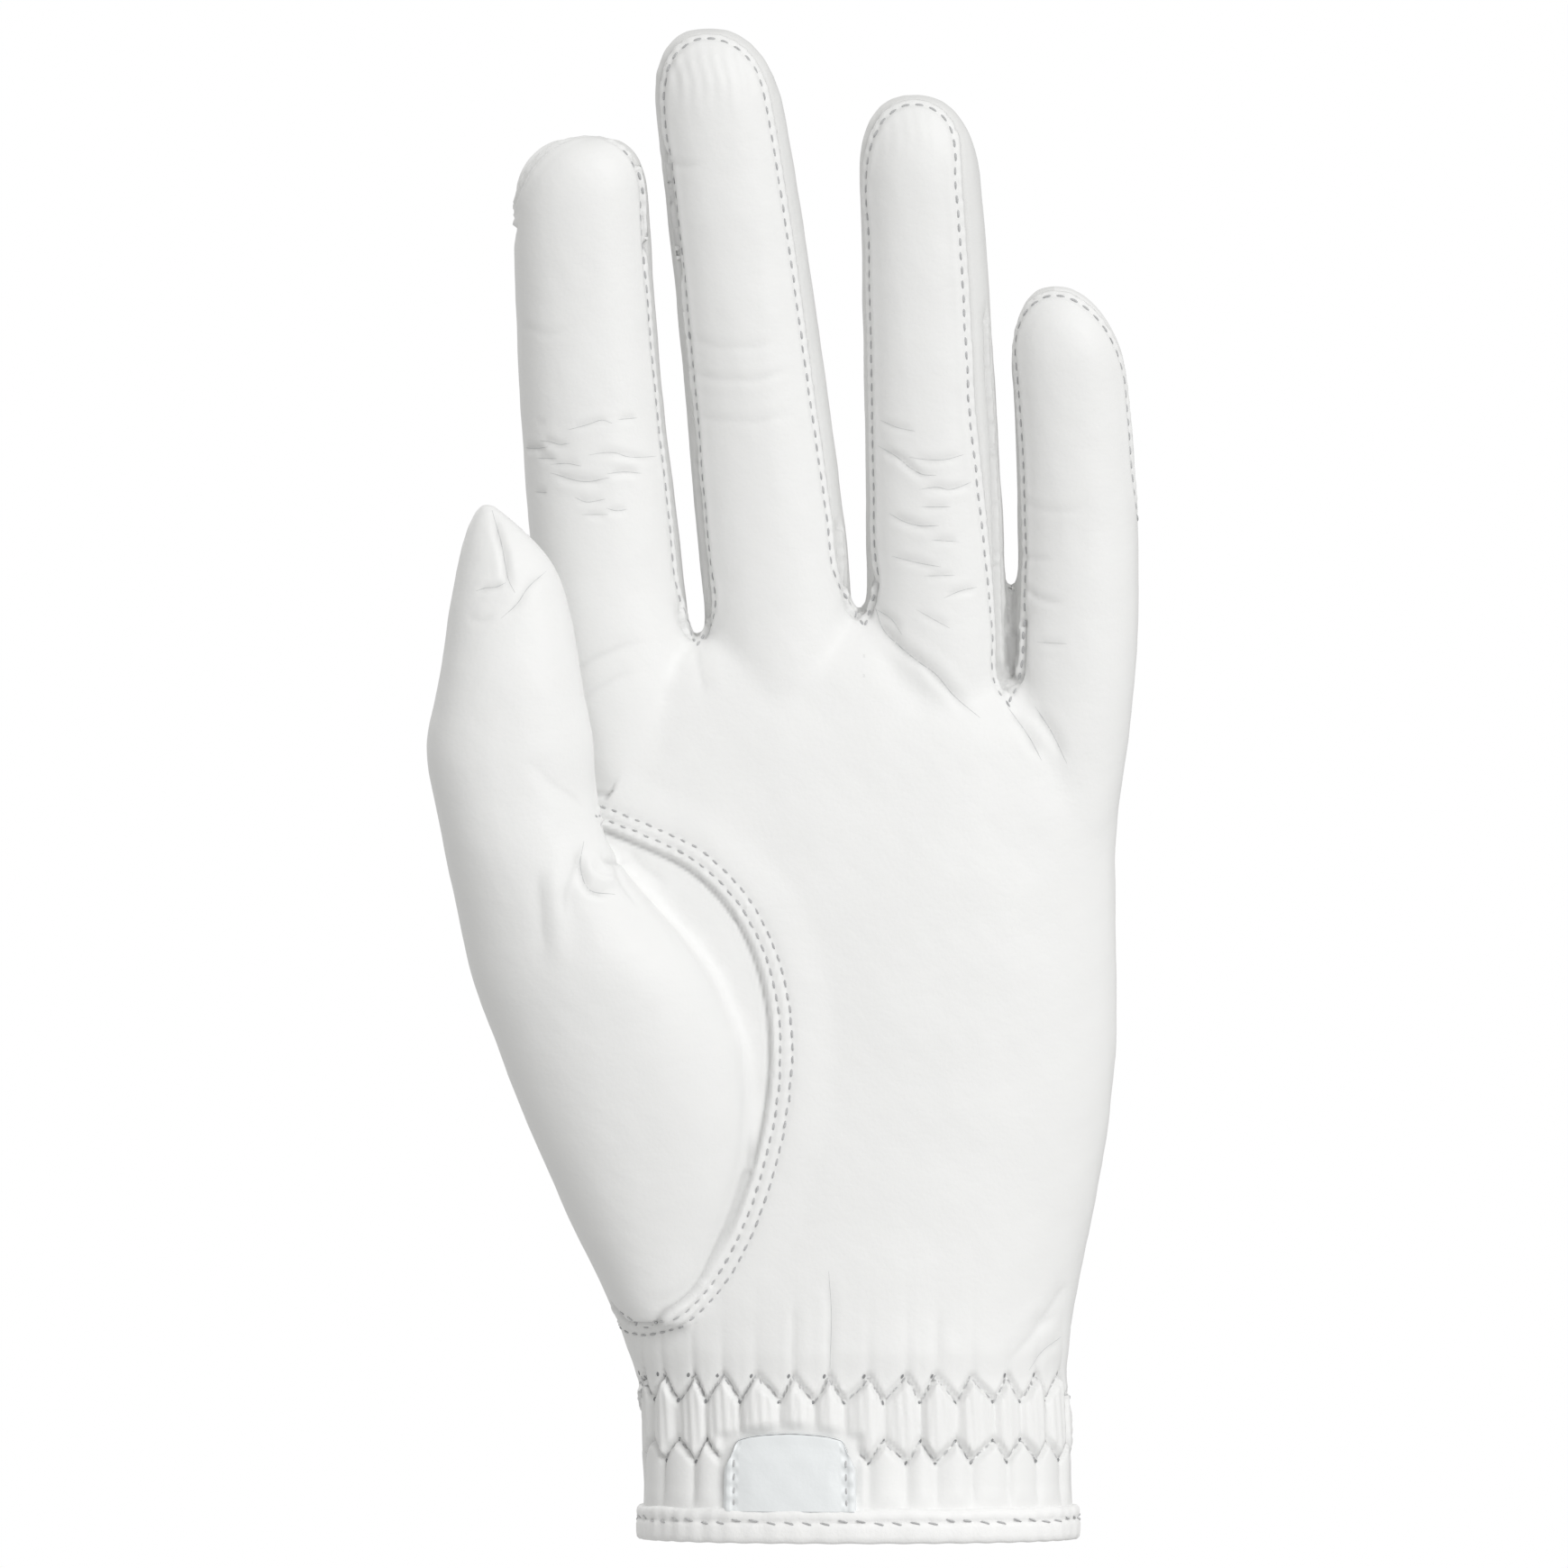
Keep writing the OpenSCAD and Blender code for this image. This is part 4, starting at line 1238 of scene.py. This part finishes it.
def thread_block(length, radius):
    """One stitch along X, lying on Z = 0: its points and faces."""
    rings = [(-0.5, 0.25, -0.3), (-0.46, 0.75, 0.05), (-0.25, 1.0, 0.3), (0.25, 1.0, 0.3),
             (0.46, 0.75, 0.05), (0.5, 0.25, -0.3)]
    points = [(along * length, share * radius * math.cos(a),
               radius * (lift + share * 0.8 * math.sin(a)))
              for along, share, lift in rings for a in np.arange(0, 2 * np.pi, np.pi / 4)]
    faces = [list(f[::-1]) for f in grid_faces(6, 8, True)]
    return np.array(points), faces


def hole_block(length, width):
    """The dent a stitch lies in: a low oval, dark with painted shade."""
    points = [(0.5 * length * math.cos(a), 0.5 * width * math.sin(a), 0.0)
              for a in np.arange(0, 2 * np.pi, np.pi / 6)] + [(0, 0, 0.06)]
    return np.array(points), [[k, (k + 1) % 12, 12] for k in range(12)]


def placed(block, places):
    """Copies of a block at places: a point, its normal and its direction."""
    points, faces = block
    out, all_faces = [], []
    for k, (at, normal, along) in enumerate(places):
        along = along - normal * (along @ normal)
        along /= max(np.linalg.norm(along), 1e-9)
        out.append(points @ np.stack([along, np.cross(normal, along), normal]) + at)
        all_faces += [[i + k * len(points) for i in f] for f in faces]
    return np.vstack(out), all_faces


SEAM_PITCH = 2.2         # from one stitch to the next of a single seam


def row(path, pitch, start=0.0, tree=skin_tree, turn=0.0, pick=None):
    """Places for stitches along a path on the skin, one every pitch."""
    along = lengths_along(path)
    point = lambda s: np.array([np.interp(s, along, path[:, k]) for k in range(3)])
    places = []
    for s in np.arange(start + pitch / 2, along[-1], pitch):
        at, ahead = point(s), point(s + 0.4) - point(s - 0.4)
        hit, normal, _, _ = tree.find_nearest(Vector(at))
        normal = np.array(normal)
        if turn:
            ahead = ahead * math.cos(turn) + np.cross(normal, ahead) * math.sin(turn)
        places.append((np.array(hit), normal, ahead))
    return [p for p in places if pick is None or pick(p[0])]


def sew(name, places, length=1.05, radius=0.16, sink=0.02, hole=(1.35, 0.5), dent=HOLE_SHADE_FINISH):
    """A piece with a row of stitches, and dark ovals of painted shade for the dents they lie in."""
    lifted = [(at + n * (0.05 - sink), n, d) for at, n, d in places]
    points, faces = placed(thread_block(length, radius), lifted)
    dents, dent_faces = placed(hole_block(*hole), [(at + n * 0.03, n, d) for at, n, d in places])
    count = len(points)
    obj = make(name, np.vstack([points, dents]),
               faces + [[i + count for i in f] for f in dent_faces], THREAD_SHADE_FINISH, slot=None)
    obj.data.materials.append(dent)
    which = np.zeros(len(obj.data.polygons), np.int32)
    which[len(faces):] = 1
    obj.data.polygons.foreach_set("material_index", which)


def sew_fingers():
    """The seams at the front and back of each finger. The hand's share of them is returned."""
    hand_rows = []
    for name, path in finger_paths.items():
        a, _, b, _ = SPLITS[name]
        tube = FINGERS[name]
        front = row(path, SEAM_PITCH, pick=lambda p: name != "index" or p[0] > tube.cx(p[2]) + 6)
        back_line = finger_seams[name].copy()
        half = tube.w(np.minimum(back_line[:, 1], tube.high - 13))
        reach = (back_line[:, 0] - tube.cx(back_line[:, 1])) / half
        back_line[:, 0] = tube.cx(back_line[:, 1]) + half * np.clip(reach, -0.78, 0.78)
        outer = {"index": -1, "little": 1}.get(name, 0)
        back = row(on_front(back_line, side=1), SEAM_PITCH,
                   pick=lambda p: p[2] > 132 and outer * (p[0] - tube.cx(p[2])) <= 2)
        both = front + back
        hand_rows += [p for p in both if p[0][2] <= a]
        sew(f"{name}_lower_stitches", [p for p in both if a < p[0][2] <= b])
        sew(f"{name}_upper_stitches", [p for p in both if p[0][2] > b])
    return hand_rows


def sew_thumb():
    """The thumb's side seams, up one side and down the other."""
    zs = np.concatenate([np.arange(112, 156, 1.0), np.arange(156, 112, -1.0)])
    ts = np.where(np.arange(len(zs)) < 44, 170.0, 12.0)
    path = nearest([THUMB.point(z, t) for z, t in zip(zs, ts)], skin_tree)
    places = row(path, SEAM_PITCH)
    fine = dict(radius=0.12, sink=0.07, hole=(1.2, 0.35))
    sew("thumb_lower_stitches", [p for p in places if p[0][2] <= THUMB_SPLITS[2]], **fine)
    sew("thumb_upper_stitches", [p for p in places if p[0][2] > THUMB_SPLITS[2]], **fine)


def tree_of(name):
    """A search tree over a piece's faces, in millimetres."""
    mesh = pieces[name].data
    points = np.empty(len(mesh.vertices) * 3)
    mesh.vertices.foreach_get("co", points)
    return BVHTree.FromPolygons((points.reshape(-1, 3) / MM).tolist(),
                                [tuple(p.vertices) for p in mesh.polygons])


def sew_wrist():
    """The zigzag rows with a dark needle dot of painted shade at each turn, the binding's row and the patch's two."""
    angles = FRONT_ANGLES
    line = HAND.point(np.full(len(angles), 20.0), angles)
    places = []
    for rows in (upper_row, lower_row):
        z = rows(gather_phase(line))
        path = nearest(wrap(z, angles, 0))
        path = nearest(wrap(rows(gather_phase(path)), angles, 0))
        places += row(on_skin(path), 1.9, pick=lambda p: p[1] > -0.5 or on_patch(p[0], p[2]) > 1.08)
    sew("gather_stitches", places, length=1.0, radius=0.12, hole=(1.1, 0.24), dent=DENT_SHADE_FINISH)
    dots = []
    for rows, level in ((upper_row, 20.0), (lower_row, 14.0)):
        path = nearest(wrap(level, angles, 0))
        u = gather_phase(path)
        for half in np.arange(math.ceil(u.min() * 2), math.floor(u.max() * 2) + 1):
            k = int(np.argmin(np.abs(u - half / 2)))
            at = on_skin(nearest([wrap(rows(np.array(half / 2)), angles[k], 0)]))[0]
            _, normal, _, _ = skin_tree.find_nearest(Vector(at))
            normal = np.array(normal)
            if at[1] > -1 or on_patch(at[0], at[2]) > 1.1:
                dots.append((at + normal * 0.06, normal, np.array((0.3, 0.0, 1.0))))
    make("needle_dots", *placed(hole_block(0.75, 0.5), dots), DOT_SHADE_FINISH)

    path = wrap(3.35, np.linspace(SLIT_ANGLES[0] + 1.5, SLIT_ANGLES[1] - 1.5, 900), 1.2)
    sew("binding_stitches", row(path, 2.8, tree=tree_of("cuff_binding"), turn=-0.28), length=1.5,
        radius=0.15, sink=0.0, hole=(1.6, 0.3), dent=DENT_SHADE_FINISH)

    tree = tree_of("wrist_patch")
    places = []
    for u in (-0.85, 0.85):
        x, z = patch_point(np.full((1, 20), u), np.linspace(0.04, 0.84, 20)[None])
        path = np.stack([x[0], front_skin(x, z)[0] - 0.9, z[0]], 1)
        places += row(path, 2.0, tree=tree)
    sew("patch_stitches", places, length=1.0, radius=0.13, hole=(1.2, 0.35))


def sew_closure():
    """The tab's border and root. The rows beside the slit are returned."""
    tree = tree_of("closure_tab")
    z, t, edge = tab_grid(TAB_Z[0] + 1.5, TAB_Z[1] - 1.5, TAB_ROOT - 3, TAB_END + 3.2, 5.2)
    border = lambda a: np.concatenate([a[0], a[1:, -1], a[-1, -2::-1], a[-2:0:-1, 0]])
    z, t = border(z), border(t)
    places = row(wrap(z, t, tab_out(t) + 0.9), SEAM_PITCH, tree=tree)
    path = wrap(np.linspace(TAB_Z[0] + 2, TAB_Z[1] - 2, 60), 110.5, tab_out(110.5) + 0.9)
    places += row(path, SEAM_PITCH, tree=tree)
    sew("tab_stitches", places, hole=(1.3, 0.42))

    beside = [wrap(np.linspace(7, SLIT_TOP + 2, 90), t, 0.3) for t in (85.8, 93.8)]
    return row(beside[0], SEAM_PITCH) + row(beside[1], SEAM_PITCH)


palm_rows = []
for side in (-THUMB_ROW, THUMB_ROW):
    palm_rows += row(on_front(offset_path(thumb_seam, side)), 2.0, start=0.4 * (side > 0))
palm_rows += sew_fingers()
palm_rows += sew_closure()
sew("palm_stitches", palm_rows, length=1.0, radius=0.15, hole=(1.25, 0.42))
sew_thumb()
sew_wrist()


def ribbon(path, width, tree=skin_tree):
    """A narrow strip lying on the skin along a path, tapering to its ends."""
    along = lengths_along(path)
    points = []
    for k, at in enumerate(path):
        ahead = path[min(k + 1, len(path) - 1)] - path[max(k - 1, 0)]
        hit, normal, _, _ = tree.find_nearest(Vector(at))
        hit, normal = np.array(hit), np.array(normal)
        across = np.cross(normal, ahead)
        across /= max(np.linalg.norm(across), 1e-9)
        share = along[k] / along[-1]
        half = 0.5 * width * (0.25 + 0.75 * math.sin(math.pi * share) ** 0.6)
        half *= 0.8 + 0.2 * math.sin(along[k] * 2.1 + at[0])
        middle = hit + normal * 0.035
        points += [middle + across * half - normal * 0.06, middle + across * 0.5 * half,
                   middle - across * 0.5 * half, middle - across * half - normal * 0.06]
    return np.array(points), grid_faces(len(path), 4)


def body_part(p):
    """The name of the moving part that a place on the skin belongs to."""
    if THUMB.reach(p[None])[0] < 1.2 and p[2] > THUMB_SPLITS[0] and p[1] < -6:
        return "thumb_upper" if p[2] > THUMB_SPLITS[2] else "thumb_lower"
    for name, tube in FINGERS.items():
        half = tube.w(min(p[2], tube.high - 12))
        if abs(p[0] - tube.cx(p[2])) < 1.1 * half and p[2] > SPLITS[name][0]:
            return f"{name}_upper" if p[2] > SPLITS[name][2] else f"{name}_lower"
    return "palm"


def crease_lines():
    """A fine dark line of painted shade at the bottom of each crease."""
    groups = {}
    for places, width, depth in CREASES:
        if depth < 0.2 or width > 0.85:
            continue
        path = on_front(smooth_line(places, 0.4), -1, skin_tree)
        if np.linalg.norm(np.diff(path, axis=0), axis=1).max() > 2:
            continue
        middle = path[len(path) // 2]
        groups.setdefault(body_part(middle), []).append(ribbon(path, 0.06 + 0.28 * depth))
    for part, strips in groups.items():
        make(f"{part}_creases", *joined(strips), CREASE_SHADE_FINISH)


def patch_edge_line():
    """A dark strip of painted shadow in the gap along the patch's top edge, which the leather above laps."""
    u = np.linspace(-0.97, 0.97, 90)
    x, z = patch_point(u[None], np.full((1, 90), 1.0))
    path = np.stack([x[0], front_skin(x, z)[0] - 0.5, z[0]], 1)
    make("patch_edge", *ribbon(path, 0.34, tree_of("wrist_patch")), DOT_SHADE_FINISH)


crease_lines()
patch_edge_line()


def breathing_holes():
    """Rows of small holes over the knuckles, each a dark disc of painted shade."""
    for name, tube in FINGERS.items():
        a, _, b, _ = SPLITS[name]
        places = []
        for i, z in enumerate(np.arange(128, tube.high - 26, 4.2)):
            for k in (-1, 0, 1):
                x = tube.cx(z) + (k + 0.5 * (i % 2) - 0.25) * 4.0
                at = on_front([(x, z)], 1, skin_tree)[0]
                hit, normal, _, _ = skin_tree.find_nearest(Vector(at))
                normal = np.array(normal)
                places.append((np.array(hit) + normal * 0.02, normal, np.array((1.0, 0, 0))))
        for label, low, high in ((f"knuckle_holes_{name}", 0, a), (f"{name}_lower_holes", a, b),
                                 (f"{name}_upper_holes", b, 300)):
            chosen = [p for p in places if low < p[0][2] <= high]
            if chosen:
                make(label, *placed(hole_block(0.95, 0.95), chosen), HOLE_SHADE_FINISH)


breathing_holes()


# Motion -----------------------------------------------------------------------------------------

def bend_with_body(obj, name):
    """The piece follows its body, bending across the joint below it."""
    part = name.split("_")[0]
    if name.endswith(("crotch", "gusset")):
        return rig.ride(obj, "hand")
    if name in ("closure_tab", "tab_lining", "tab_stitches"):
        root, fold = (wrap(25.0, t, 1.5) * MM for t in (113.0, 107.0))
        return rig.blend(obj, "hand", "tab", Vector(root), Vector(fold))
    if part == "thumb":
        a, b, c, d = THUMB_SPLITS
    elif part in SPLITS:
        a, b, c, d = SPLITS[part]
    else:
        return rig.ride(obj, "tab" if name in ("hook_pad", "hooks") else "hand")
    lower, upper = f"{part}_lower", f"{part}_upper"
    low, high, bodies = (a, b, ("hand", lower)) if "_lower" in name else (c, d, (lower, upper))
    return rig.blend(obj, *bodies, Vector((0, 0, low * MM)), Vector((0, 0, high * MM)))


for name, obj in pieces.items():
    bend_with_body(obj, name)

# Light, backdrop and camera -----------------------------------------------------------------------

world = bpy.data.worlds.new("studio")
bpy.context.scene.world = world
world.use_nodes = True
nodes, links = world.node_tree.nodes, world.node_tree.links
room = nodes["Background"]
room.inputs["Color"].default_value = (1.0, 0.997, 0.985, 1)
room.inputs["Strength"].default_value = 0.55
backdrop = nodes.new("ShaderNodeBackground")
backdrop.inputs["Color"].default_value = (1, 1, 1, 1)
backdrop.inputs["Strength"].default_value = 1.0
ray = nodes.new("ShaderNodeLightPath")
mix = nodes.new("ShaderNodeMixShader")
links.new(ray.outputs["Is Camera Ray"], mix.inputs[0])
links.new(room.outputs[0], mix.inputs[1])
links.new(backdrop.outputs[0], mix.inputs[2])
links.new(mix.outputs[0], nodes["World Output"].inputs["Surface"])

white = bpy.data.materials.new("floor")
white.use_nodes = True
white.node_tree.nodes.clear()
glow = white.node_tree.nodes.new("ShaderNodeEmission")
glow.inputs["Color"].default_value = (1, 1, 1, 1)
glow.inputs["Strength"].default_value = 1.0
white.node_tree.links.new(glow.outputs[0],
                          white.node_tree.nodes.new("ShaderNodeOutputMaterial").inputs["Surface"])
corners = [(x * MM, y * MM, -0.8 * MM) for x, y in ((-120, -120), (120, -120), (120, 120), (-120, 120))]
floor = link("floor", new_mesh("floor", corners, [(0, 1, 2, 3)]))
floor.data.materials.append(white)
floor.visible_diffuse = floor.visible_glossy = False



def sun(name, energy, spread, direction):
    """A soft sun shining from the given direction."""
    light = link(name, bpy.data.lights.new(name, "SUN"))
    light.data.energy = energy
    light.data.angle = math.radians(spread)
    light.rotation_euler = Vector(direction).to_track_quat("Z", "Y").to_euler()
    return light


key = sun("key", 1.6, 40, (0.45, -0.76, 0.46))
behind = sun("behind", 0.5, 30, (-0.5, 0.75, 0.45))
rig.stage(key, behind, floor)

camera = link("camera", bpy.data.cameras.new("camera"))
camera.location = (-0.0114, -2.7, 0.1172)
camera.rotation_euler = (math.radians(90), 0, 0)
camera.data.sensor_width = 36
camera.data.lens = 36 * 2.7 / 0.2436        # a frame 243.6 mm wide at the glove
camera.data.clip_end = 20
bpy.context.scene.camera = camera
bpy.context.scene.view_settings.view_transform = "Standard"

with open("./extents.json", "w") as file:
    json.dump({"cad": [list(c) for c in cad_box], "visual": [list(c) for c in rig.bounds()]}, file)
